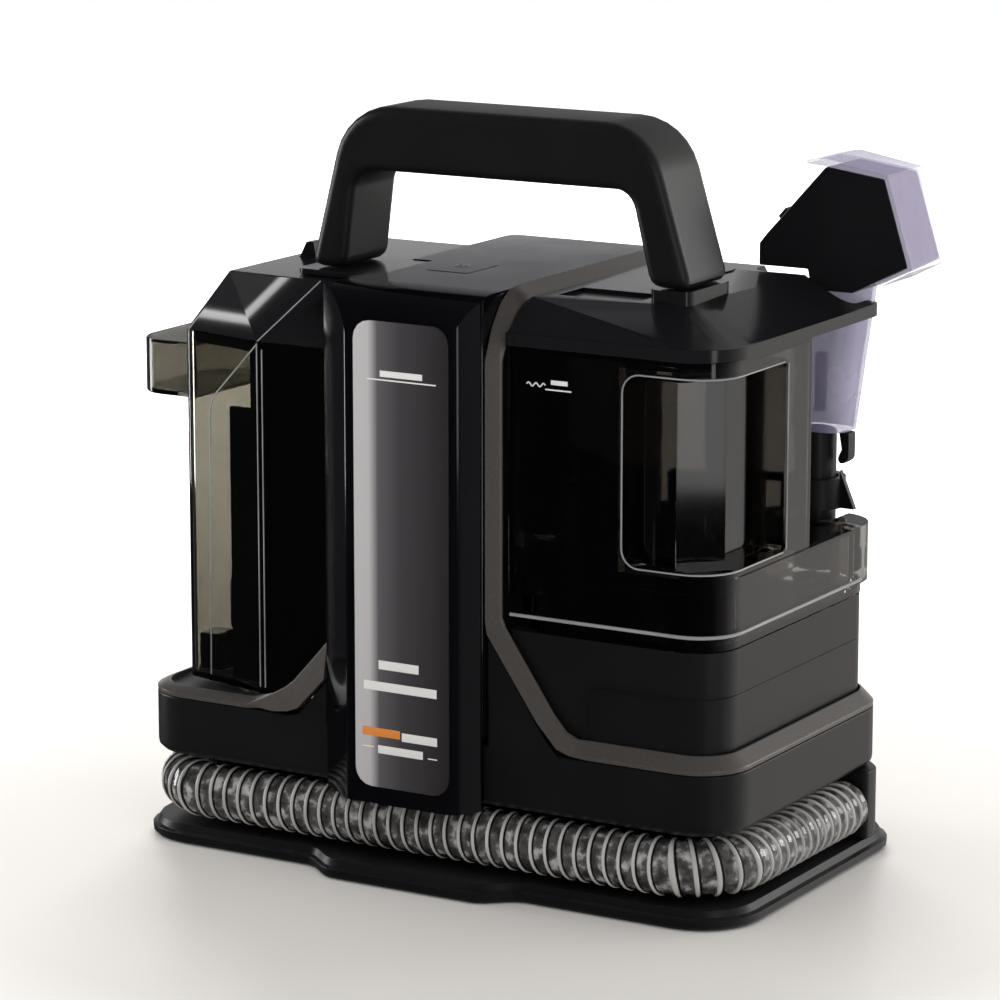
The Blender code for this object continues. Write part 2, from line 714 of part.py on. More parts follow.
def water_dock(mat):
    """The post behind the tank that takes its outlet."""
    dock = box("water_dock", (48.0, 98.0), (68.7, 77.4), (132.3, 182.0), mat)
    cut(dock, side_prism("c", circle(6.0, 20, OUTLET), 60.0, 74.0))


def tank_valve(mat):
    """The outlet nozzle on the tank's back wall, with its flange inside the dock."""
    valve = side_prism("tank_valve", circle(4.4, 20, OUTLET), 60.0, 73.0, mat)
    join(valve, side_prism("r", circle(8.0, 20, OUTLET), 57.0, 63.0))
    cut(valve, side_prism("c", circle(2.6, 16, OUTLET), 50.0, 80.0))


def valve_pin(mat):
    """The sprung pin that the dock pushes in to open the outlet."""
    pin = side_prism("valve_pin", circle(1.6, 16, OUTLET), 54.0, 71.0, mat)
    join(pin, side_prism("h", circle(4.6, 20, OUTLET), 51.5, 54.5))
    set_origin(pin, (OUTLET[0], 54.0, OUTLET[1]))


# ---------------------------------------------------------------- dirty water side


def dirty_plan(inset):
    """The dirty tank's plan: a slanting front corner on the left."""
    return (
        (-151.0 + inset, 78.0 - inset, 12),
        (-49.6 - inset, 78.0 - inset, 6),
        (-49.6 - inset, -84.0 + inset, 2),
        (-99.0 - inset * 0.5, -84.0 + inset, 2),
        (-151.0 + inset, -71.0 + inset, 6),
    )


def dirty_tank(mat):
    """The smoke tank for dirty water, open at the top."""
    outer = list(reversed(rounded_polygon(dirty_plan(0.0), 4)))
    inner = list(reversed(rounded_polygon(dirty_plan(WALL), 4)))
    tank = prism("dirty_tank", outer, *DIRTY_Z, mat)
    cut(tank, prism("c", inner, DIRTY_Z[0] + WALL, DIRTY_Z[1] + 20))
    cut(tank, side_prism("d", ((-78.0, 60.0), (-40.0, 60.0), (-40.0, 130.0), (-57.0, 112.0)), -100.0, -80.0))
    cut(tank, end_prism("a", circle(9.0, 24, AIR_PORT), -60, -40))
    cut(tank, end_prism("w", circle(8.0, 24, DRAIN_PORT), -60, -40))


def dirty_lid(mat):
    """The chamfered lid with its air port towards the tower."""
    lower = list(reversed(rounded_polygon(dirty_plan(0.0), 4)))
    upper = ((-123.0, -71.0), (-67.0, -75.0), (-49.6, -75.0), (-49.6, 60.0), (-123.0, 60.0))
    lid = hull("dirty_lid", lower, DIRTY_Z[1] + GAP, upper, DIRTY_TOP, mat)
    low = list(reversed(rounded_polygon(dirty_plan(WALL), 4)))
    high = ((-121.0, -68.5), (-68.0, -72.0), (-52.2, -72.0), (-52.2, 57.5), (-121.0, 57.5))
    cut(lid, hull("h", low, DIRTY_Z[1] - 1, high, DIRTY_TOP - WALL))
    tab = ((-118.5, 288.0), (-108.0, 288.0), (-109.5, 297.0), (-114.0, 297.0))
    join(lid, side_prism("t", tab, -16.0, -6.0))


def dirty_seal(mat):
    """The rubber gasket inside the tank's rim."""
    outer = list(reversed(rounded_polygon(dirty_plan(WALL + GAP), 4)))
    inner = list(reversed(rounded_polygon(dirty_plan(WALL + 3), 4)))
    seal = prism("dirty_seal", outer, 252.0, 257.2, mat)
    cut(seal, prism("c", inner, 240.0, 270.0))


def pour_grip(mat):
    """The clear box at the tank's left wall: spout and finger grip in one."""
    corners = ((-151.3, -62.0, 0), (-151.3, 10.0, 0), (-188.0, 10.0, 16), (-188.0, -62.0, 16))
    outline = rounded_polygon(corners, 5)
    grip = prism("pour_grip", list(reversed(outline)), 221.0, 249.0, mat)
    corners = ((-140.0, -59.8, 0), (-140.0, 7.8, 0), (-185.8, 7.8, 13.8), (-185.8, -59.8, 13.8))
    inner = rounded_polygon(corners, 5)
    cut(grip, prism("c", list(reversed(inner)), 223.0, 247.0))


def separator_tube(mat):
    """The riser and its splash baffle, with the arm that brings air and water in from the tower."""
    tube = box("separator_tube", (-110.0, -55.5), (-72.5, -42.0), (83.3, 250.0), mat)
    join(tube, box("p", (-121.0, -100.0), (-74.3, -71.5), (83.3, 222.0)))
    join(tube, box("a", (-106.0, -92.0), (-44.0, 28.0), (217.0, 235.0)))
    join(tube, end_prism("s", circle(7.7, 24, DRAIN_PORT), -93.0, -50.5))
    cut(tube, box("c", (-108.0, -57.5), (-70.5, -44.0), (90.0, 248.0)))
    cut(tube, box("c", (-104.0, -94.0), (-60.0, 26.0), (219.0, 233.0)))
    cut(tube, end_prism("b", circle(5.7, 24, DRAIN_PORT), -99.0, -45.0))
    cut(tube, box("o", (-106.0, -92.0), (-48.0, -38.0), (118.0, 150.0)))


def float_shutter(mat):
    """The float that rises on the water and shuts the air way."""
    shutter = box("float_shutter", (-141.0, -114.0), (-50.0, -18.0), (100.0, 130.0), mat)
    bevel(shutter, 4.0, 3)


def tank_foot(mat):
    """The moulded locating lug at the tank's floor."""
    outline = rounded_polygon(((-147.5, 83.3, 0), (-134.5, 83.3, 0), (-134.5, 102.0, 5), (-147.5, 102.0, 1)), 4)
    side_prism("tank_foot", outline, -64.5, -50.0, mat)


# ---------------------------------------------------------------- handle, tool and hose


def carry_handle(mat):
    """The arched handle, from the left wing over to the top cover."""
    outline = rounded_polygon(
        (
            (-84.2, WING_TOP + GAP, 0), (-63.5, 373.6, 32), (103.0, 373.6, 32), (126.2, COLLAR_TOP + GAP, 0),
            (104.3, COLLAR_TOP + GAP, 0), (93.5, 342.0, 11), (-58.5, 342.0, 11), (-64.4, WING_TOP + GAP, 0),
        ),
        6,
    )
    handle = side_prism("carry_handle", outline, *HANDLE_Y, mat)
    bevel(handle, 6.0, 3, 50)


def handle_wing(mat):
    """The arm of the tower that carries the handle's left foot over the dirty lid."""
    outline = rounded_polygon(((-88.0, -66.0, 6), (-52.0, -66.0, 0), (-52.0, -11.0, 0), (-88.0, -11.0, 6)), 3)
    wing = prism("handle_wing", outline, DIRTY_TOP + GAP, WING_TOP, mat)
    join(wing, box("t", (-53.0, -41.0), (-60.0, -15.0), (TOWER_TOP + GAP, WING_TOP)))


def tool_cradle(mat):
    """The ring that holds the tool upright, on an arm from the water dock."""
    ring = disc("tool_cradle", (TOOL_X, TOOL_Y), 15.8, 171.0, 186.0, mat, 32)
    cut(ring, disc("c", (TOOL_X, TOOL_Y), 12.3, 160.0, 200.0, None, 32))
    arm = box("a", (90.0, 111.5), (72.0, 77.4), (182.3, 186.0))
    wedge = side_prism("w", ((140.0, 171.0), (148.0, 171.0), (140.0, 190.0)), 76.0, 79.0)
    join(ring, arm, wedge)


def tool_grip(mat):
    grip = disc("tool_grip", (TOOL_X, TOOL_Y), 11.0, 150.3, 210.0, mat, 28)
    bevel(grip, 2.0, 2)
    set_origin(grip, (TOOL_X, TOOL_Y, 150.3))


def tool_neck(mat):
    """The clear duct, widening from the grip to the head."""
    rings = []
    outside = ((210.3, 113.0, 145.0, 13.0), (245.0, 116.5, 149.0, 15.0), (282.6, 122.0, 153.5, 17.0))
    for z, x0, x1, half in outside:
        ring = rounded_outline(x0, x1, TOOL_Y - half, TOOL_Y + half, 10.0, 4)
        rings.append([(x, y, z) for x, y in ring])
    neck = add_object("tool_neck", skin(rings), mat)
    bore = []
    inside = ((205.0, 115.0, 143.0, 11.0), (245.0, 118.5, 147.0, 13.0), (290.0, 124.8, 152.5, 15.5))
    for z, x0, x1, half in inside:
        ring = rounded_outline(x0, x1, TOOL_Y - half, TOOL_Y + half, 8.0, 4)
        bore.append([(x, y, z) for x, y in ring])
    cut(neck, add_object("c", skin(bore), None))


def tool_trigger(mat):
    """The spray trigger at the neck's foot, hinged at its upper end."""
    outline = rounded_polygon(
        (
            (140.0, 209.6, 0), (145.5, 209.6, 1), (145.5, 196.0, 3),
            (139.6, 192.0, 2), (139.6, 197.0, 1), (141.5, 201.0, 2),
        ),
        3,
    )
    trigger = side_prism("tool_trigger", outline, TOOL_Y - 4.0, TOOL_Y + 4.0, mat)
    set_origin(trigger, (142.0, TOOL_Y, 209.0))


def head_outline():
    lower = ((104.5, 293.0), (131.0, 293.0), (133.0, 283.0), (155.0, 283.0), (184.5, 298.0))
    return (*lower, (171.5, 339.5), (140.0, 343.8), (109.0, 309.5), (104.5, 304.0))


def tool_head(mat):
    head = side_prism("tool_head", head_outline(), 54.5, 92.0, mat)
    duct = ((136.0, 270.0), (152.0, 270.0), (152.0, 290.0), (168.0, 300.0), (160.0, 330.0))
    channel = (*duct, (137.0, 337.0), (122.0, 350.0), (114.0, 340.0), (136.0, 320.0))
    cut(head, side_prism("c", channel, 60.5, 86.0))


def nozzle_hood(mat):
    """The clear hood over the head's top and front."""
    inner = ((130.0, 344.8), (140.2, 344.2), (171.9, 339.9), (185.0, 297.8), (168.0, 289.2))
    outer = ((169.5, 287.0), (187.8, 296.4), (173.6, 342.2), (141.0, 348.0), (130.0, 346.6))
    side_prism("nozzle_hood", (*inner, *outer), 53.5, 93.0, mat)


def spray_nozzle(mat):
    """The jet on the head's slanting face that wets the fabric ahead of the mouth."""
    outline = ((111.4, 312.7), (108.0, 315.8), (112.0, 320.2), (115.4, 317.1))
    jet = side_prism("spray_nozzle", outline, 68.0, 78.5, mat)
    cut(jet, side_prism("c", ((106.0, 316.3), (109.5, 320.0), (113.2, 316.4), (111.6, 314.6)), 71.5, 75.0))


def hose_route():
    """Centreline from the tool's cuff, down the back, round the groove and into the port."""
    x, y, r = HOSE_LINE
    z = HOSE_Z
    points = [
        (TOOL_X, TOOL_Y, 137.0), (TOOL_X, TOOL_Y, 130.0), (TOOL_X - 4, TOOL_Y + 10, 109.0),
        (TOOL_X - 11, 99.0, 88.0), (TOOL_X - 19, 102.5, 66.0), (91.0, 101.5, 46.0),
        (68.0, 94.5, 31.0), (42.0, y + 2, z),
    ]
    corners = ((-x + r, y - r, 90), (-x + r, -y + r, 180), (x - r, -y + r, 270))
    for cx, cy, start in corners:
        for i in range(5):
            a = math.radians(start + 22.5 * i)
            points.append((cx + r * math.cos(a), cy + r * math.sin(a), z))
        if start == 90:
            points.append((-x, 0.0, z))
        if start == 180:
            points += [(-60.0, -y, z), (0.0, -y, z), (60.0, -y, z)]
    points += [(x, 0.0, z), (x, 30.0, z), (x, 52.0, z)]
    points.insert(8, (0.0, y, z))
    points.insert(9, (-60.0, y, z))
    return points


def hose(mat):
    pipe("hose", smooth_route(hose_route(), 14.0), HOSE_RADIUS, mat, 4)


def hose_cuff(mat):
    """The sleeve that joins the hose to the tool's grip."""
    cuff = disc("hose_cuff", (TOOL_X, TOOL_Y), 11.9, 140.2, 150.0, mat, 28)
    cut(cuff, disc("c", (TOOL_X, TOOL_Y), 8.0, 130.0, 160.0, None, 24))
    set_origin(cuff, (TOOL_X, TOOL_Y, 140.2))


def hose_port(mat):
    """The elbow housing where the hose enters the machine."""
    outline = rounded_polygon(
        (
            (143.2, 52.5, 0), (169.0, 52.5, 3), (169.0, 66.0, 14), (150.0, 84.5, 14),
            (118.0, 84.5, 3), (118.0, 70.4, 0), (133.0, 70.4, 0), (143.2, 62.2, 0),
        ),
        3,
    )
    prism("hose_port", outline, 9.9, 44.7, mat)


# ---------------------------------------------------------------- the whole machine


def clear_scene():
    for obj in list(bpy.data.objects):
        bpy.data.objects.remove(obj)


def build():
    satin = material("satin_abs", (0.018, 0.018, 0.02), 0.42)
    gloss = material("gloss_abs", (0.012, 0.012, 0.014), 0.12)
    trim = material("trim_paint", (0.09, 0.085, 0.085), 0.35, 0.6)
    badge = material("badge_metal", (0.16, 0.155, 0.15), 0.32, 0.8)
    rubber = material("rubber", (0.02, 0.02, 0.02), 0.8)
    smoke = material("smoke_tank", (0.05, 0.048, 0.045), 0.06, 0.0, 0.45)
    dark_smoke = material("dark_smoke_tank", (0.02, 0.02, 0.03), 0.06, 0.0, 0.75)
    clear = material("clear_polycarbonate", (0.75, 0.72, 0.78), 0.05, 0.0, 0.35)
    metal = material("motor_steel", (0.5, 0.5, 0.52), 0.35, 1.0)
    copper = material("heater_alloy", (0.65, 0.66, 0.68), 0.4, 1.0)
    board = material("board_green", (0.03, 0.2, 0.08), 0.5)
    white = material("white_nylon", (0.75, 0.75, 0.73), 0.45)
    hose_mat = material("hose_pvc", (0.3, 0.3, 0.3), 0.2, 0.0, 0.6)

    base_plate(satin)
    feet(rubber)
    hose_core(satin)
    tub_shell(satin)
    lower_deck(satin)
    right_trim(trim)
    left_trim(trim)
    column_cover(gloss)
    badge_panel(badge)
    tower_shell(satin)
    top_deck(gloss)
    power_button(gloss)
    rear_panel(satin)
    cord_inlet(rubber)
    vacuum_motor(metal)
    fan_housing(white)
    impeller(white)
    air_duct(satin)
    suction_pipe(satin)
    exhaust_filter(rubber)
    mains_switch(white)
    water_pump(white)
    heater_block(copper)
    control_board(board)
    water_tube(clear)
    pump_housing(satin)
    clean_tank(dark_smoke)
    top_cover(gloss)
    filler_cap(gloss)
    water_dock(satin)
    tank_valve(satin)
    valve_pin(metal)
    dirty_tank(smoke)
    dirty_lid(dark_smoke)
    dirty_seal(rubber)
    pour_grip(smoke)
    separator_tube(satin)
    float_shutter(satin)
    tank_foot(satin)
    carry_handle(satin)
    handle_wing(satin)
    tool_cradle(satin)
    tool_grip(satin)
    tool_neck(clear)
    tool_trigger(satin)
    tool_head(satin)
    nozzle_hood(clear)
    spray_nozzle(satin)
    hose(hose_mat)
    hose_cuff(satin)
    hose_port(satin)


def shade():
    """Smooth shading, with the sharper edges kept crisp."""
    for obj in bpy.data.objects:
        if obj.type == "MESH":
            obj.data.shade_smooth()
            obj.data.set_sharp_from_angle(angle=math.radians(35))


def centre_on_box():
    """Move the whole machine so that the origin is the middle of its box's underside."""
    bpy.context.view_layer.update()
    graph = bpy.context.evaluated_depsgraph_get()
    lows, highs = [math.inf, math.inf], [-math.inf, -math.inf]
    for obj in bpy.data.objects:
        shape = obj.evaluated_get(graph)
        for vertex in shape.to_mesh().vertices:
            place = obj.matrix_world @ vertex.co
            for axis in (0, 1):
                lows[axis] = min(lows[axis], place[axis])
                highs[axis] = max(highs[axis], place[axis])
        shape.to_mesh_clear()
    shift = Vector((-(lows[0] + highs[0]) / 2, -(lows[1] + highs[1]) / 2, 0.0))
    for obj in bpy.data.objects:
        obj.location += shift
    print("origin shift in millimetres:", [round(v / MM, 3) for v in shift])


clear_scene()
build()
shade()
centre_on_box()
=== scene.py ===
import json
import math

import bpy
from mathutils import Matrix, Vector

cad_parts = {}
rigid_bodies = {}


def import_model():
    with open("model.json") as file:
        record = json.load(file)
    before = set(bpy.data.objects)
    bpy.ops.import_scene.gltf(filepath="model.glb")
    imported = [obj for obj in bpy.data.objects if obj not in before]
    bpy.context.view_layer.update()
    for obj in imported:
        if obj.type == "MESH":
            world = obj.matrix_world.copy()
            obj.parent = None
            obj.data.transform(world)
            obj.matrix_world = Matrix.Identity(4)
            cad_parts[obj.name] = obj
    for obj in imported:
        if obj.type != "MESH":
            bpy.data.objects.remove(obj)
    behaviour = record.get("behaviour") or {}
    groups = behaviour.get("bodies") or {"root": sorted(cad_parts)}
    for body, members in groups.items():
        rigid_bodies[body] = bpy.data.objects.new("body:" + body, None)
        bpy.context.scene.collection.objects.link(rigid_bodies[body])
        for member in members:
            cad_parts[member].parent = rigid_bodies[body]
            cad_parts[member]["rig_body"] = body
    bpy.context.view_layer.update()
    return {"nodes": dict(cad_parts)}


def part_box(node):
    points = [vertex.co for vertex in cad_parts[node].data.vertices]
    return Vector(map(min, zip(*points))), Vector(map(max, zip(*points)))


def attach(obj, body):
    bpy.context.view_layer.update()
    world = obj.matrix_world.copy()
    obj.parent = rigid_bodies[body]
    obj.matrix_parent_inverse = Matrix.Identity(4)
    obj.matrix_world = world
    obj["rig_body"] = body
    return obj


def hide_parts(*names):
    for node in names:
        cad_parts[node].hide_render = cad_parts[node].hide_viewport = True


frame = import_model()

# ---------------------------------------------------------------- Camera
# A portrait lens two metres away, a little above the machine and to its right. Places are measured in
# millimetres from the middle of the base plate on the floor, which is the middle of the hose's core.
core_low, core_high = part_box("hose_core")


def at(x, y, z):
    """A place in millimetres from the middle of the base plate on the floor, as a point in metres."""
    middle_x = (core_low.x + core_high.x) / 2
    middle_y = (core_low.y + core_high.y) / 2
    return Vector((middle_x + x / 1000, middle_y + y / 1000, z / 1000))


heading = math.radians(30.43)
pitch = math.radians(12.06)
sight_length = 2.021
sight = Vector((-math.sin(heading) * math.cos(pitch), math.cos(heading) * math.cos(pitch), -math.sin(pitch)))
viewpoint = at(50.2, -103.4, 198.4) - sight * sight_length
bpy.ops.object.camera_add(location=viewpoint, rotation=(math.pi / 2 - pitch, 0, heading))
camera = bpy.context.object
camera.data.lens = 154.8
camera.data.sensor_width = 36.0
camera.data.clip_end = 30.0
bpy.context.scene.camera = camera
bpy.context.scene.view_settings.view_transform = "Standard"


# ---------------------------------------------------------------- Floor and light
# A studio table, warm pale grey near the machine as painted shade and fading to white around it, where it glows as
# painted light. A low panel and a lamp stand behind on the left, a strip on each side and a panel behind on the
# right, in an even white room.
def linear(code):
    """An sRGB hex colour as linear red, green, blue and alpha."""
    parts = [int(code[i:i + 2], 16) / 255 for i in (1, 3, 5)]
    return [v / 12.92 if v <= 0.04045 else ((v + 0.055) / 1.055) ** 2.4 for v in parts] + [1.0]


def node(holder, kind, settings=(), links=(), stops=()):
    """Add one node: settings and links by input name or number, other settings by property, stops on a ramp."""
    made = holder.node_tree.nodes.new(kind)
    for key, value in dict(settings).items():
        if isinstance(key, int) or key in made.inputs:
            made.inputs[key].default_value = value
        else:
            setattr(made, key, value)
    for key, socket in dict(links).items():
        holder.node_tree.links.new(socket, made.inputs[key])
    for _ in stops[2:]:
        made.color_ramp.elements.new(0.5)
    for i, (place, code) in enumerate(stops):
        made.color_ramp.elements[i].position = place
        made.color_ramp.elements[i].color = linear(code)
    return made


def new_material(name, **sockets):
    """A material and its Principled shader with the sockets that are the same all over."""
    material = bpy.data.materials.new(name)
    material.use_nodes = True
    shader = material.node_tree.nodes["Principled BSDF"]
    for key, value in sockets.items():
        shader.inputs[key.replace("_", " ")].default_value = value
    return material, shader


table_paint, shader = new_material(
    "matt_table_painted_shade_glow", Roughness=0.3, Specular_IOR_Level=0.3, Emission_Color=(1, 1, 1, 1)
)
place = node(table_paint, "ShaderNodeTexCoord")
radius = node(table_paint, "ShaderNodeVectorMath", {"operation": "LENGTH"}, {0: place.outputs["Object"]})
far = node(
    table_paint, "ShaderNodeMapRange", {"From Min": 0.3, "From Max": 0.8}, {"Value": radius.outputs["Value"]}
)
# Painted shade: the table's colour is warmer and darker near the machine, where its shadow falls.
painted_shade_fade = node(table_paint, "ShaderNodeValToRGB", {}, {"Fac": far.outputs[0]}, ((0.0, "#f3efea"), (1.0, "#ffffff")))
# Painted light: further from the machine the table glows, so it fades into the white room.
painted_glow = node(table_paint, "ShaderNodeMath", {"operation": "MULTIPLY", 1: 0.6}, {0: far.outputs[0]})
speckle = node(
    table_paint, "ShaderNodeTexNoise", {"Scale": 900.0, "Detail": 2.0}, {"Vector": place.outputs["Object"]}
)
bump = node(
    table_paint, "ShaderNodeBump", {"Strength": 0.05, "Distance": 0.0002}, {"Height": speckle.outputs["Fac"]}
)
table_paint.node_tree.links.new(painted_shade_fade.outputs["Color"], shader.inputs["Base Color"])
table_paint.node_tree.links.new(painted_glow.outputs[0], shader.inputs["Emission Strength"])
table_paint.node_tree.links.new(bump.outputs["Normal"], shader.inputs["Normal"])
# In mirrored rays the table gives way to the room, as it does beyond the edge of a real one.
path = node(table_paint, "ShaderNodeLightPath")
once = node(table_paint, "ShaderNodeMath", {"operation": "MINIMUM", 1: 1.0}, {0: path.outputs["Glossy Depth"]})
clear = node(table_paint, "ShaderNodeBsdfTransparent")
both = {0: once.outputs[0], 1: shader.outputs[0], 2: clear.outputs[0]}
either = node(table_paint, "ShaderNodeMixShader", {}, both)
surface = table_paint.node_tree.nodes["Material Output"].inputs["Surface"]
table_paint.node_tree.links.new(either.outputs[0], surface)

bpy.ops.object.select_all(action="DESELECT")
bpy.ops.mesh.primitive_circle_add(vertices=96, radius=3.5, fill_type="NGON", location=(0, 0, 0))
table = bpy.context.object
table.name = "studio_table"
table.data.materials.append(table_paint)

# The room is white, but the machine's gloss mirrors it as dark in front and brighter behind to the right.
room = bpy.data.worlds.new("studio_room")
room.use_nodes = True
way = node(room, "ShaderNodeTexCoord")
bright_way = (0.45, 0.885, -0.1)
lean = node(
    room, "ShaderNodeVectorMath", {"operation": "DOT_PRODUCT", 1: bright_way}, {0: way.outputs["Generated"]}
)
share = node(room, "ShaderNodeMapRange", {"From Min": -1.0, "From Max": 1.0}, {"Value": lean.outputs["Value"]})
dark_room = ((0.0, "#202022"), (0.5, "#343438"), (0.76, "#77777a"), (0.9, "#b4b2b0"), (1.0, "#d6d3cf"))
mirrored = node(room, "ShaderNodeValToRGB", {}, {"Fac": share.outputs[0]}, dark_room)
path = node(room, "ShaderNodeLightPath")
once = node(room, "ShaderNodeMath", {"operation": "MINIMUM", 1: 1.0}, {0: path.outputs["Glossy Depth"]})
white = (1, 1, 1, 1)
blend = node(
    room, "ShaderNodeMix", {"data_type": "RGBA", 6: white}, {0: once.outputs[0], 7: mirrored.outputs["Color"]}
)
soaked = node(room, "ShaderNodeMath", {"operation": "MINIMUM", 1: 1.0}, {0: path.outputs["Diffuse Depth"]})
room_fill = (0.84, 0.84, 0.84, 1)
whole = node(
    room, "ShaderNodeMix", {"data_type": "RGBA", 7: room_fill}, {0: soaked.outputs[0], 6: blend.outputs[2]}
)
room.node_tree.links.new(whole.outputs[2], room.node_tree.nodes["Background"].inputs["Color"])
bpy.context.scene.world = room


def soft_box(name, place, target, width, height, power, mirrored=True):
    """A rectangular soft box that faces the target."""
    bpy.ops.object.light_add(type="AREA", location=place)
    lamp = bpy.context.object
    lamp.name = name
    lamp.data.shape = "RECTANGLE"
    lamp.data.size = width
    lamp.data.size_y = height
    lamp.data.energy = power
    lamp.visible_glossy = mirrored
    lamp.rotation_mode = "QUATERNION"
    lamp.rotation_quaternion = (Vector(target) - Vector(place)).to_track_quat("-Z", "Y")


soft_box("back_panel", (-1.2, 2.1, 0.38), (0, 0, 0.38), 2.4, 0.5, 4)
soft_box("back_lamp", (-1.2, 2.1, 1.3), (0, 0, 0.1), 1.6, 0.6, 52, False)
soft_box("left_strip", (-1.8, -0.15, 0.5), (0, 0, 0.2), 0.4, 1.4, 10)
soft_box("right_strip", (1.5, -0.85, 0.45), (0, 0, 0.2), 0.3, 1.2, 1.8)
soft_box("right_panel", (1.5, 1.6, 0.6), (0, 0, 0.3), 0.6, 0.7, 6)


# ---------------------------------------------------------------- Base plate and feet
# A flat plate with a stepped rim and a bulge under the column, injection moulded in black ABS from a
# spark-eroded tool, on four pressed-in rubber feet.
def moulding(part, name, finish, edge=0.6, steps=2, crease=33):
    """A copy of a machine part in its place, its faces merged and its edges rounded by so many millimetres."""
    bpy.ops.object.select_all(action="DESELECT")
    piece = bpy.data.objects.new(name, frame["nodes"][part].data.copy())
    bpy.context.scene.collection.objects.link(piece)
    piece.select_set(True)
    bpy.context.view_layer.objects.active = piece
    bpy.ops.mesh.customdata_custom_splitnormals_clear()
    bpy.ops.object.mode_set(mode="EDIT")
    bpy.ops.mesh.select_all(action="SELECT")
    bpy.ops.mesh.remove_doubles(threshold=0.00001)
    bpy.ops.mesh.dissolve_limited(angle_limit=math.radians(0.3))
    bpy.ops.object.mode_set(mode="OBJECT")
    if edge:
        rounding = piece.modifiers.new("Rounding", "BEVEL")
        rounding.width = edge / 1000
        rounding.segments = steps
        rounding.limit_method = "ANGLE"
        rounding.angle_limit = math.radians(crease)
        bpy.ops.object.modifier_apply(modifier="Rounding")
    bpy.ops.object.shade_smooth_by_angle(angle=math.radians(crease))
    flats = piece.modifiers.new("Flats", "WEIGHTED_NORMAL")
    flats.weight = 100
    flats.keep_sharp = True
    bpy.ops.object.modifier_apply(modifier="Flats")
    piece.data.materials.clear()
    piece.data.materials.append(finish)
    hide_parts(part)
    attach(piece, frame["nodes"][part]["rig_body"])


def dress(finish, *parts):
    """Give machine parts that keep their own mesh a finish."""
    for part in parts:
        frame["nodes"][part].data.materials.clear()
        frame["nodes"][part].data.materials.append(finish)


def moulded(name, low, high, smooth, rough, grain, depth, **sockets):
    """A moulded plastic: colour drifting between two hex values, roughness in patches, and a fine grain."""
    material, shader = new_material(name, **sockets)
    links = material.node_tree.links
    place = node(material, "ShaderNodeTexCoord")
    cloud = node(
        material, "ShaderNodeTexNoise", {"Scale": 22.0, "Detail": 5.0}, {"Vector": place.outputs["Object"]}
    )
    tone = node(material, "ShaderNodeValToRGB", {}, {"Fac": cloud.outputs["Fac"]}, ((0.3, low), (0.7, high)))
    handled = node(
        material, "ShaderNodeMapRange", {"To Min": smooth, "To Max": rough}, {"Value": cloud.outputs["Fac"]}
    )
    spark = node(
        material, "ShaderNodeTexNoise", {"Scale": 1000 / grain, "Detail": 2.0}, {"Vector": place.outputs["Object"]}
    )
    relief = node(
        material, "ShaderNodeBump", {"Strength": 0.35, "Distance": depth / 1000}, {"Height": spark.outputs["Fac"]}
    )
    links.new(tone.outputs["Color"], shader.inputs["Base Color"])
    links.new(handled.outputs[0], shader.inputs["Roughness"])
    links.new(relief.outputs["Normal"], shader.inputs["Normal"])
    return material


# Spark-eroded ABS: a soft, even sheen with a grain of about 1.2 mm, drawn coarser than the real 0.3 mm.
grained_abs = moulded("spark_eroded_abs", "#0f0f10", "#141415", 0.34, 0.44, 1.2, 0.02, IOR=1.54)
# Nitrile rubber: nearly black and matt, so the feet vanish in their own shadow.
nitrile = moulded("nitrile_rubber", "#101010", "#181716", 0.72, 0.88, 2.0, 0.05, IOR=1.52)
moulding("base_plate", "base_shell", grained_abs, 0.7, 3)
dress(
    nitrile, "rubber_foot_front_left", "rubber_foot_front_right", "rubber_foot_back_left", "rubber_foot_back_right"
)


# ---------------------------------------------------------------- Suction hose
# A clear soft PVC wall, 28 mm outside, wound with a hard rib, pale partly as painted highlight, and a black strip
# beside it as the rib's painted shade. It leaves the tool's cuff, drops down the back, lies once round the waist
# of the base and ends in the elbow housing at the right.
hose_x, hose_y, hose_bend = 157.5, 84.5, 31.0
hose_z, hose_pitch = 26.5, 8.0
route = [
    (125, 78, 137), (125, 78, 130), (121, 88, 109), (114, 99, 88), (106, 102.5, 66), (91, 101.5, 46),
    (68, 94.5, 31), (42, hose_y + 2, hose_z), (0, hose_y, hose_z), (-60, hose_y, hose_z),
]
for bend_x, bend_y, start in (
    (hose_bend - hose_x, hose_y - hose_bend, 90),
    (hose_bend - hose_x, hose_bend - hose_y, 180),
    (hose_x - hose_bend, hose_bend - hose_y, 270),
):
    for i in range(5):
        turn = math.radians(start + 22.5 * i)
        route.append((bend_x + hose_bend * math.cos(turn), bend_y + hose_bend * math.sin(turn), hose_z))
    if start == 90:
        route.append((-hose_x, 0, hose_z))
    if start == 180:
        route += [(-60, -hose_y, hose_z), (0, -hose_y, hose_z), (60, -hose_y, hose_z)]
route += [(hose_x, 0, hose_z), (hose_x, 30, hose_z), (hose_x, 52, hose_z)]


def smooth_line(points, spacing):
    """Evenly spaced points on the smooth line through the given ones."""
    knots = [Vector(p) for p in points]
    knots = [2 * knots[0] - knots[1]] + knots + [2 * knots[-1] - knots[-2]]
    fine = []
    for a, b, c, d in zip(knots, knots[1:], knots[2:], knots[3:]):
        for k in range(24):
            t = k / 24
            square = (2 * a - 5 * b + 4 * c - d) * t**2
            cube = (3 * b - a - 3 * c + d) * t**3
            fine.append(0.5 * (2 * b + (c - a) * t + square + cube))
    fine.append(knots[-2])
    lengths = [0.0]
    for a, b in zip(fine, fine[1:]):
        lengths.append(lengths[-1] + (b - a).length)
    count = round(lengths[-1] / spacing)
    line, k = [], 0
    for i in range(count + 1):
        goal = lengths[-1] * i / count
        while k < len(fine) - 2 and lengths[k + 1] < goal:
            k += 1
        line.append(fine[k].lerp(fine[k + 1], (goal - lengths[k]) / (lengths[k + 1] - lengths[k])))
    return line, lengths[-1]


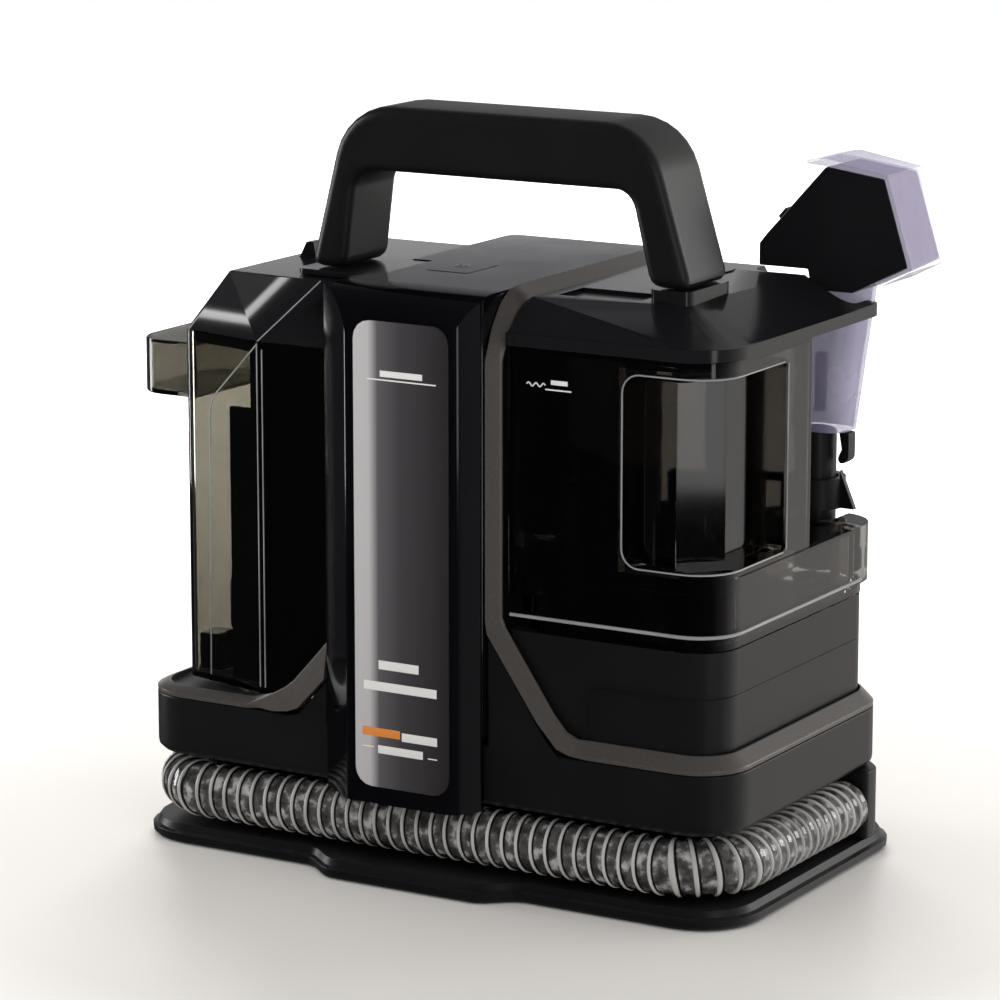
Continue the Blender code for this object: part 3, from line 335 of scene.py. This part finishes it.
hose_line, hose_length = smooth_line(route, 3.5)
guide_data = bpy.data.curves.new("hose_guide", "CURVE")
guide_data.dimensions = "3D"
guide_spline = guide_data.splines.new("POLY")
guide_spline.points.add(len(hose_line) - 1)
for target, point in zip(guide_spline.points, hose_line):
    target.co = (*at(*point), 1.0)
guide = bpy.data.objects.new("hose_guide", guide_data)
bpy.context.scene.collection.objects.link(guide)


def wound(name, profile, closed, finish):
    """A profile of (along, out) points in millimetres, turned into a helix and laid along the hose's line."""
    bpy.ops.object.select_all(action="DESELECT")
    bpy.ops.mesh.primitive_plane_add(size=0.001, location=(0, 0, 0))
    piece = bpy.context.object
    piece.name = name
    bpy.ops.object.mode_set(mode="EDIT")
    bpy.ops.mesh.select_all(action="SELECT")
    bpy.ops.mesh.merge(type="CENTER")
    bpy.ops.transform.translate(value=(profile[0][0] / 1000, 0, profile[0][1] / 1000))
    for (x0, z0), (x1, z1) in zip(profile, profile[1:]):
        step = ((x1 - x0) / 1000, 0, (z1 - z0) / 1000)
        bpy.ops.mesh.extrude_region_move(TRANSFORM_OT_translate={"value": step})
    if closed:
        bpy.ops.mesh.select_all(action="SELECT")
        bpy.ops.mesh.remove_doubles(threshold=0.000001)
    bpy.ops.object.mode_set(mode="OBJECT")
    winding = piece.modifiers.new("Winding", "SCREW")
    winding.axis = "X"
    winding.screw_offset = hose_pitch / 1000
    winding.iterations = int(hose_length / hose_pitch)
    winding.steps = 26
    winding.render_steps = 26
    bpy.ops.object.modifier_apply(modifier="Winding")
    bpy.ops.object.mode_set(mode="EDIT")
    bpy.ops.mesh.select_all(action="SELECT")
    bpy.ops.mesh.remove_doubles(threshold=0.00001)
    bpy.ops.mesh.normals_make_consistent(inside=False)
    bpy.ops.object.mode_set(mode="OBJECT")
    laying = piece.modifiers.new("Laying", "CURVE")
    laying.object = guide
    laying.deform_axis = "POS_X"
    bpy.ops.object.modifier_apply(modifier="Laying")
    bpy.ops.object.shade_smooth_by_angle(angle=math.radians(60))
    piece.data.materials.append(finish)
    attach(piece, "machine")
    return piece


# Plasticised PVC: a clear smoky wall that dips between the ribs, with pale patches in its colour as painted
# highlight streaks.
soft_pvc, shader = new_material("plasticised_pvc", Roughness=0.1, IOR=1.53, Coat_Weight=1.0, Coat_Roughness=0.04)
place = node(soft_pvc, "ShaderNodeTexCoord")
milky = node(soft_pvc, "ShaderNodeTexNoise", {"Scale": 160.0, "Detail": 3.0}, {"Vector": place.outputs["Object"]})
painted_highlight_streaks = ((0.36, "#3d3c3c"), (0.52, "#6a6867"), (0.66, "#c4c2c0"))
tone = node(soft_pvc, "ShaderNodeValToRGB", {}, {"Fac": milky.outputs["Fac"]}, painted_highlight_streaks)
cover = {"From Min": 0.3, "From Max": 0.7, "To Min": 0.5, "To Max": 0.8}
veil = node(soft_pvc, "ShaderNodeMapRange", cover, {"Value": milky.outputs["Fac"]})
soft_pvc.node_tree.links.new(tone.outputs["Color"], shader.inputs["Base Color"])
soft_pvc.node_tree.links.new(veil.outputs[0], shader.inputs["Alpha"])
# Hard PVC rib: the same stock without softener, polished, its pale grey colour partly a painted highlight, so each
# crest carries a bright line.
rib_pvc = moulded("rigid_pvc_rib", "#9b9896", "#d0cecb", 0.12, 0.22, 3.0, 0.01, IOR=1.53, Coat_Weight=0.6)
# A black strip beside each rib: painted shade on the rib's dark side.
rib_shade_black = moulded("painted_rib_shade", "#080808", "#121212", 0.3, 0.4, 2.0, 0.01, IOR=1.5)
# The inside of the bore, a dark sheet as painted shade, seen through the wall.
painted_bore_shade = moulded("hose_bore_painted_shade", "#161616", "#3a3938", 0.2, 0.4, 3.0, 0.1, IOR=1.5)
wall = ((0, 13.2), (0.9, 13.3), (2.2, 13.05), (4.0, 12.85), (5.8, 13.05), (7.1, 13.3), (8.0, 13.2))
rib = (
    (-0.9, 12.8), (-0.9, 13.6), (-0.45, 14.1), (0.0, 14.2), (0.45, 14.1), (0.9, 13.6), (0.9, 12.8), (-0.9, 12.8),
)
rib_shade_strip = ((1.0, 12.9), (1.0, 13.65), (1.7, 13.55), (1.7, 12.9), (1.0, 12.9))
bore = ((0.0, 12.0), (4.0, 11.8), (8.0, 12.0))
hose_wall = wound("hose_wall", wall, False, soft_pvc)
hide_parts("hose")
wound("hose_rib", rib, True, rib_pvc)
wound("hose_rib_shade", rib_shade_strip, True, rib_shade_black)
wound("hose_bore", bore, False, painted_bore_shade)
bpy.data.objects.remove(guide)
dress(grained_abs, "hose_core")
moulding("hose_port", "hose_elbow_housing", grained_abs, 1.2, 3)
moulding("hose_cuff", "hose_cuff_sleeve", grained_abs, 0.8, 3)


# ---------------------------------------------------------------- Lower housing
# The tub is one deep ABS moulding. The bands along its upper edge are separate trims, lacquered in a
# bronze grey with fine metal flake.
moulding("tub_shell", "tub_moulding", grained_abs, 1.0, 3)
dress(grained_abs, "lower_deck")
flake_lacquer, shader = new_material("bronze_flake_lacquer", Metallic=0.5, Coat_Weight=0.3, Coat_Roughness=0.2)
place = node(flake_lacquer, "ShaderNodeTexCoord")
flake = node(flake_lacquer, "ShaderNodeTexVoronoi", {"Scale": 1400.0}, {"Vector": place.outputs["Object"]})
cloud = node(
    flake_lacquer, "ShaderNodeTexNoise", {"Scale": 30.0, "Detail": 3.0}, {"Vector": place.outputs["Object"]}
)
bronze = ((0.1, "#5d5855"), (0.9, "#66615d"))
tone = node(flake_lacquer, "ShaderNodeValToRGB", {}, {"Fac": flake.outputs["Color"]}, bronze)
sheen = node(flake_lacquer, "ShaderNodeMapRange", {"To Min": 0.3, "To Max": 0.42}, {"Value": cloud.outputs["Fac"]})
flake_lacquer.node_tree.links.new(tone.outputs["Color"], shader.inputs["Base Color"])
flake_lacquer.node_tree.links.new(sheen.outputs[0], shader.inputs["Roughness"])
moulding("right_trim", "right_trim_band", flake_lacquer, 0.7, 3)
moulding("left_trim", "left_trim_band", flake_lacquer, 0.7, 3)


# ---------------------------------------------------------------- Tower, column and deck
# Between the tanks stands a satin tower. Its front and top are highly polished black ABS, clipped on, with a
# shallow recess in front for the badge. The louvred panel at the back lets the fan's air out.
# Polished ABS: a deep black mirror with the faint orange peel of a polished tool.
polished_abs = moulded("polished_abs", "#040406", "#070709", 0.06, 0.11, 9.0, 0.03, IOR=1.54)
moulding("column_cover", "column_front", polished_abs, 0.8, 3)
moulding("top_deck", "deck_panel", polished_abs, 0.4, 2)
dress(grained_abs, "tower_shell")
moulding("rear_panel", "louvre_panel", grained_abs, 0.5, 2)
moulding("cord_inlet", "cord_gland", nitrile, 0.8, 2)

# Moulded gloss ABS: the lid and covers come from the tool unpolished, so their black is a shade softer.
gloss_abs = moulded("moulded_gloss_abs", "#131315", "#171719", 0.13, 0.2, 6.0, 0.02, IOR=1.54)
# The badge is a stiff plate of brushed foil, its colour lighter towards its left edge as a painted reflection.
brushed_foil, shader = new_material("brushed_foil_painted_reflection", Metallic=0.25, Coat_Weight=0.3, Coat_Roughness=0.1)
links = brushed_foil.node_tree.links
place = node(brushed_foil, "ShaderNodeTexCoord")
stretch = {"Scale": (1500.0, 1500.0, 12.0)}
long_grain = node(brushed_foil, "ShaderNodeMapping", stretch, {"Vector": place.outputs["Object"]})
brushing = node(
    brushed_foil, "ShaderNodeTexNoise", {"Scale": 1.0, "Detail": 3.0}, {"Vector": long_grain.outputs["Vector"]}
)
axes = node(brushed_foil, "ShaderNodeSeparateXYZ", {}, {0: place.outputs["Object"]})
badge_left, badge_right = at(-25.6, 0, 0).x, at(26.9, 0, 0).x
badge_span = {"From Min": badge_left, "From Max": badge_right}
across = node(brushed_foil, "ShaderNodeMapRange", badge_span, {"Value": axes.outputs["X"]})
# Painted reflection: the colour is pale at the badge's left edge and darkens to the right.
painted_reflection_tints = ((0.0, "#cfcbcc"), (0.16, "#cbc7c8"), (0.26, "#656265"), (0.5, "#484548"), (1.0, "#2d2a2c"))
painted_reflection = node(brushed_foil, "ShaderNodeValToRGB", {}, {"Fac": across.outputs[0]}, painted_reflection_tints)
streak = node(
    brushed_foil, "ShaderNodeMapRange", {"To Min": 0.26, "To Max": 0.42}, {"Value": brushing.outputs["Fac"]}
)
relief = node(
    brushed_foil, "ShaderNodeBump", {"Strength": 0.1, "Distance": 0.0001}, {"Height": brushing.outputs["Fac"]}
)
links.new(painted_reflection.outputs["Color"], shader.inputs["Base Color"])
links.new(streak.outputs[0], shader.inputs["Roughness"])
links.new(relief.outputs["Normal"], shader.inputs["Normal"])
moulding("badge_panel", "badge_plate", brushed_foil, 0.35, 3)


# ---------------------------------------------------------------- Printed marks
# Screen-printed ink a tenth of a millimetre thick: plain bars on the badge, a level mark on the clean tank and
# a power symbol on the button.
def ink(name, code, rough):
    """A flat printing ink with slightly uneven cover."""
    return moulded(name, code, code, rough, rough + 0.1, 0.8, 0.01, IOR=1.5)


white_ink = ink("white_screen_ink", "#d9d8d6", 0.5)
orange_ink = ink("orange_screen_ink", "#d9822b", 0.5)
grey_ink = ink("grey_screen_ink", "#8f9096", 0.5)


def bar(name, low, high, finish, body, edge=0.3):
    """A small rounded bar between two corners given in millimetres."""
    bpy.ops.object.select_all(action="DESELECT")
    middle = (at(*low) + at(*high)) / 2
    bpy.ops.mesh.primitive_cube_add(size=1, location=middle)
    piece = bpy.context.object
    piece.name = name
    piece.scale = at(*high) - at(*low)
    bpy.ops.object.transform_apply(location=True, rotation=True, scale=True)
    rounding = piece.modifiers.new("Rounding", "BEVEL")
    rounding.width = edge / 1000
    rounding.segments = 2
    bpy.ops.object.modifier_apply(modifier="Rounding")
    bpy.ops.object.shade_smooth_by_angle(angle=math.radians(40))
    piece.data.materials.append(finish)
    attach(piece, body)
    return piece


def join_pieces(name, pieces):
    """Make one piece of several."""
    bpy.ops.object.select_all(action="DESELECT")
    for piece in pieces:
        piece.select_set(True)
    bpy.context.view_layer.objects.active = pieces[0]
    bpy.ops.object.join()
    pieces[0].name = name


badge_face = -112.3
print_back, print_front = badge_face - 0.1, badge_face + 0.2
print_edge = 0.08
white_bars = []
words = (
    (-17.8, 20.5, 251.6, 0.35), (-10.5, 13.0, 254.6, 1.5), (-12.1, 10.4, 112.6, 2.2), (-20.6, 20.4, 101.9, 2.2),
    (0.8, 20.6, 78.2, 2.1), (-21.4, -15.2, 71.4, 0.3), (-12.7, 12.6, 70.6, 2.0), (15.4, 20.6, 69.6, 0.3),
)
for left, right, z, tall in words:
    low, high = (left, print_back, z - tall), (right, print_front, z + tall)
    white_bars.append(bar("b", low, high, white_ink, "machine", print_edge))
join_pieces("badge_print_white", white_bars)
low, high = (-21.4, print_back, 76.9), (-0.2, print_front, 81.1)
bar("badge_print_orange", low, high, orange_ink, "machine", print_edge)

# The button is a loose square key in the deck, in the same polished black.
moulding("power_button", "power_key", polished_abs, 0.5, 3)
bpy.ops.object.select_all(action="DESELECT")
bpy.ops.mesh.primitive_torus_add(
    location=at(-18.7, -22.5, 293.2), major_radius=0.0034, minor_radius=0.0003, major_segments=40, minor_segments=8
)
power_ring = bpy.context.object
bpy.ops.object.mode_set(mode="EDIT")
bpy.ops.mesh.select_all(action="DESELECT")
bpy.ops.object.mode_set(mode="OBJECT")
for face in power_ring.data.polygons:
    offset = face.center
    face.select = offset.y > 0 and abs(offset.x) < 0.0011
bpy.ops.object.mode_set(mode="EDIT")
bpy.ops.mesh.delete(type="FACE")
bpy.ops.mesh.select_all(action="SELECT")
bpy.ops.mesh.fill_holes(sides=0)
bpy.ops.object.mode_set(mode="OBJECT")
bpy.ops.object.transform_apply(location=True, rotation=True, scale=True)
power_ring.data.materials.append(grey_ink)
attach(power_ring, "button")
low, high = (-18.95, -22.0, 293.0), (-18.45, -18.2, 293.5)
power_bar = bar("power_mark_bar", low, high, grey_ink, "button", 0.15)
join_pieces("power_mark", [power_ring, power_bar])


# ---------------------------------------------------------------- Works inside the tower
# The fan, motor, pump, heater and their board sit behind the column. They show only through the smoke of the
# tanks or with the tanks out.
# Zinc-plated steel, drawn and slightly brushed.
plated_steel = moulded("zinc_plated_steel", "#8d8f92", "#a6a8ab", 0.28, 0.4, 0.6, 0.01, Metallic=1.0)
# Die-cast aluminium with its dull skin.
cast_alloy = moulded("die_cast_aluminium", "#8b8d8f", "#9fa1a3", 0.42, 0.55, 1.5, 0.04, Metallic=1.0)
# Natural nylon: off-white and waxy.
natural_nylon = moulded(
    "natural_nylon", "#d5d3c9", "#dedcd3", 0.4, 0.5, 2.0, 0.02, IOR=1.53, Subsurface_Weight=0.05
)
# Glass-fibre board under green solder mask.
solder_mask = moulded("green_solder_mask", "#12492a", "#185a34", 0.3, 0.4, 1.0, 0.02, IOR=1.55)
# Open-cell foam, dark grey and dusty.
filter_foam = moulded("open_cell_foam", "#262626", "#3b3a38", 0.9, 0.98, 1.4, 0.5, IOR=1.5)
dress(plated_steel, "vacuum_motor", "valve_pin")
dress(cast_alloy, "heater_block")
dress(natural_nylon, "fan_housing", "impeller", "water_pump", "mains_switch")
dress(solder_mask, "control_board")
dress(filter_foam, "exhaust_filter")
dress(grained_abs, "air_duct", "suction_pipe", "water_dock", "tank_valve")


# ---------------------------------------------------------------- Clean water side
# The smoke tank slides forward over a satin housing. A polished black cover stays on the machine above it; a
# round flap in the cover opens the filler.
def smoked(name, code, rough, **sockets):
    """A clear moulded plastic with a body tint, nearly flawless, with a slow ripple from the tool."""
    material, shader = new_material(name, Roughness=rough, Transmission_Weight=1.0, **sockets)
    place = node(material, "ShaderNodeTexCoord")
    cloud = node(
        material, "ShaderNodeTexNoise", {"Scale": 12.0, "Detail": 2.0}, {"Vector": place.outputs["Object"]}
    )
    dark = "#" + "".join(f"{max(0, int(code[i:i + 2], 16) - 10):02x}" for i in (1, 3, 5))
    tone = node(material, "ShaderNodeValToRGB", {}, {"Fac": cloud.outputs["Fac"]}, ((0.35, dark), (0.65, code)))
    relief = node(
        material, "ShaderNodeBump", {"Strength": 0.12, "Distance": 0.0004}, {"Height": cloud.outputs["Fac"]}
    )
    material.node_tree.links.new(tone.outputs["Color"], shader.inputs["Base Color"])
    material.node_tree.links.new(relief.outputs["Normal"], shader.inputs["Normal"])
    return material


# Smoke-tinted SAN: a grey-brown glass that darkens with each wall the light crosses.
smoke_san = smoked("smoke_tinted_san", "#a7a49a", 0.03, IOR=1.57)
deep_smoke_san = smoked("deep_smoke_tinted_san", "#706c68", 0.05, IOR=1.57, Specular_IOR_Level=0.32)
moulding("pump_housing", "pump_box", grained_abs, 1.0, 3)
moulding("clean_tank", "clean_tank_body", deep_smoke_san, 0.7, 3)
moulding("top_cover", "tank_cover", gloss_abs, 0.8, 3)
moulding("filler_cap", "filler_flap", gloss_abs, 0.5, 3)


def bead(name, points, radius, finish, body):
    """A thin moulded bead along points given in millimetres."""
    data = bpy.data.curves.new(name, "CURVE")
    data.dimensions = "3D"
    data.bevel_depth = radius / 1000
    data.bevel_resolution = 2
    data.use_fill_caps = True
    spline = data.splines.new("POLY")
    spline.points.add(len(points) - 1)
    for target, point in zip(spline.points, points):
        target.co = (*at(*point), 1.0)
    curve = bpy.data.objects.new(name, data)
    bpy.context.scene.collection.objects.link(curve)
    bpy.ops.object.select_all(action="DESELECT")
    curve.select_set(True)
    bpy.context.view_layer.objects.active = curve
    bpy.ops.object.convert(target="MESH")
    piece = bpy.context.object
    bpy.ops.object.shade_smooth_by_angle(angle=math.radians(50))
    piece.data.materials.append(finish)
    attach(piece, body)
    return piece


def corner(middle, radius, start, turn, steps=6):
    """Points (a, b) on a rounded corner about its middle."""
    angles = [math.radians(start + turn * i / steps) for i in range(steps + 1)]
    return [(middle[0] + radius * math.cos(v), middle[1] + radius * math.sin(v)) for v in angles]


# The level mark: a ripple over a line, with a block for full.
wave = [(57 + 0.5 * i, -90.2, 252.6 + 0.9 * math.sin(math.radians(45 * i))) for i in range(21)]
level = [
    bead("level_wave", wave, 0.35, white_ink, "clean_tank_unit"),
    bar("b", (67, -90.3, 250.4), (81, -90.0, 251.1), white_ink, "clean_tank_unit", 0.1),
    bar("b", (70, -90.3, 253.2), (79, -90.0, 255.4), white_ink, "clean_tank_unit", 0.1),
]
join_pieces("level_mark", level)

# Painted highlights: pale grey beads on the thick rims and edges of the smoke mouldings stand for the light they
# gather.
painted_edge_highlight = moulded("painted_highlight_grey", "#77777a", "#9a9a9b", 0.12, 0.2, 3.0, 0.01, IOR=1.57)
round_front = corner((138.0, -69.0), 21.1, -90, 90)
rim = [(48.0, -90.1), (90.0, -90.1)] + corner((138.0, -68.0), 22.1, -90, 90) + [(160.1, 40.0), (160.1, 60.0)]
bead("tank_rim", [(x, y, 140.2) for x, y in rim], 0.9, painted_edge_highlight, "clean_tank_unit")
upper = [(x, y, 262.0) for x, y in reversed(round_front)]
lower = [(x, y, 170.0) for x, y in round_front]
left = [(x, -90.1, z) for x, z in corner((117.0, 253.0), 9.0, 90, 90) + corner((117.0, 179.0), 9.0, 180, 90)]
frame_line = [(159.1, -24.0, 262.0)] + upper + left + lower + [(159.1, -24.0, 170.0)]
bead("recess_frame", frame_line, 0.45, painted_edge_highlight, "clean_tank_unit")
back_line = [(159.1, -20.4, 171.0), (159.1, -20.4, 261.0)]
bead("recess_back_edge", back_line, 0.45, painted_edge_highlight, "clean_tank_unit")
# The cup-shaped line pressed into the pump box, polished where the tool was relieved.
cup = [(88.4, -90.1, 79.0)] + [(x, -90.1, z) for x, z in corner((97.0, 101.0), 8.5, 180, -90)]
cup += [(x, y, 109.5) for x, y in corner((136.5, -68.5), 21.6, -90, 90)] + [(158.1, 60.0, 109.5)]
bead("cup_line", cup, 0.35, grained_abs, "machine")


# ---------------------------------------------------------------- Dirty water side
# A clear smoke tank under a darker lid, with the black riser box and float inside it and a clear pouring spout
# that is also its grip.
moulding("dirty_tank", "dirty_tank_body", smoke_san, 0.7, 3)
moulding("dirty_lid", "dirty_tank_lid", gloss_abs, 0.8, 3)
# The spout is drawn in thicker smoke SAN, so it reads darker than the tank.
thick_smoke_san = smoked("thick_smoke_tinted_san", "#8f8c84", 0.04, IOR=1.57)
moulding("pour_grip", "pour_spout", thick_smoke_san, 0.8, 3)
# Painted highlights: pale beads along the tank's front corner and the lid's fold over it stand for the fine bright
# lines where they catch the light.
for name, points in (
    ("tank_corner_line", ((-99.0, -84.1, 84.0), (-99.0, -84.1, 257.0))),
    ("tank_corner_line_inner", ((-96.0, -84.2, 84.0), (-96.0, -84.2, 254.0))),
    ("lid_fold_line", ((-98.5, -84.1, 258.0), (-67.2, -75.1, 289.0))),
):
    bead(name, points, 0.35, painted_edge_highlight, "dirty_tank_unit")
step_line = [
    (-99.4, -83.9, 256.0), (-127.5, -76.9, 229.0), (-131.0, -76.1, 224.0), (-132.6, -75.7, 218.0),
    (-134.4, -75.3, 84.0),
]
bead("tank_step_line", step_line, 0.35, painted_edge_highlight, "dirty_tank_unit")
dress(nitrile, "dirty_seal")
moulding("separator_tube", "riser_box", grained_abs, 0.6, 2)
moulding("float_shutter", "float_block", grained_abs, 0)
moulding("tank_foot", "tank_lug", grained_abs, 0.8, 2)


# ---------------------------------------------------------------- Carry handle
# A hollow arch in grained ABS, screwed to a collar on the right and to a thin arm over the lid on the left.
moulding("carry_handle", "handle_arch", grained_abs, 0)
moulding("handle_wing", "handle_arm", gloss_abs, 0.6, 3)


# ---------------------------------------------------------------- Hand tool
# A polished black head under a clear hood with a faint violet tint, on a clear duct and a black grip, standing
# in a ring at the machine's back.
# Clear polycarbonate: almost nothing face on, and a violet-grey veil where the wall is seen edge on.
violet_clear, shader = new_material("clear_polycarbonate", Roughness=0.05, IOR=1.585)
place = node(violet_clear, "ShaderNodeTexCoord")
flow = node(
    violet_clear, "ShaderNodeTexNoise", {"Scale": 60.0, "Detail": 2.0}, {"Vector": place.outputs["Object"]}
)
slant = node(violet_clear, "ShaderNodeLayerWeight", {"Blend": 0.3})
blush = ((0.0, "#d9d5de"), (0.5, "#b3a9c9"), (1.0, "#6f6796"))
tone = node(violet_clear, "ShaderNodeValToRGB", {}, {"Fac": slant.outputs["Facing"]}, blush)
veil = node(
    violet_clear, "ShaderNodeMapRange", {"To Min": 0.16, "To Max": 0.9}, {"Value": slant.outputs["Facing"]}
)
drift = {"operation": "MULTIPLY_ADD", 1: 0.12}
ripple = node(violet_clear, "ShaderNodeMath", drift, {0: flow.outputs["Fac"], 2: veil.outputs[0]})
violet_clear.node_tree.links.new(tone.outputs["Color"], shader.inputs["Base Color"])
violet_clear.node_tree.links.new(ripple.outputs[0], shader.inputs["Alpha"])
moulding("tool_head", "head_body", gloss_abs, 0.8, 3)
moulding("nozzle_hood", "head_hood", violet_clear, 0.4, 2)
# The duct is moulded in a frosted polycarbonate, so its pipes show as soft grey shapes.
frosted_clear = moulded("frosted_polycarbonate", "#8c86a4", "#a49eb8", 0.2, 0.32, 2.0, 0.02, IOR=1.585, Alpha=0.6)
moulding("tool_neck", "tool_duct", frosted_clear, 0.6, 2)
moulding("spray_nozzle", "spray_jet", grained_abs, 0.5, 2)
moulding("tool_grip", "grip_tube", grained_abs, 0)
moulding("tool_trigger", "trigger_lever", grained_abs, 0.5, 2)
moulding("tool_cradle", "cradle_ring", grained_abs, 0.6, 2)
dress(violet_clear, "water_tube")
# Inside the clear duct: the spray line's grey clip and the dark end of the water pipe.
grey_nylon = moulded("grey_nylon", "#77747d", "#86838c", 0.3, 0.4, 2.0, 0.02, IOR=1.53)
clip_low, clip_high = (129.5, 67.0, 220.5), (135.0, 71.0, 250.0)
bar("spray_line_clip", clip_low, clip_high, grey_nylon, "hand_tool", 1.0)
bar("spray_line_end", (119.0, 62.0, 242.5), (123.5, 70.0, 262.0), grained_abs, "hand_tool", 1.5)
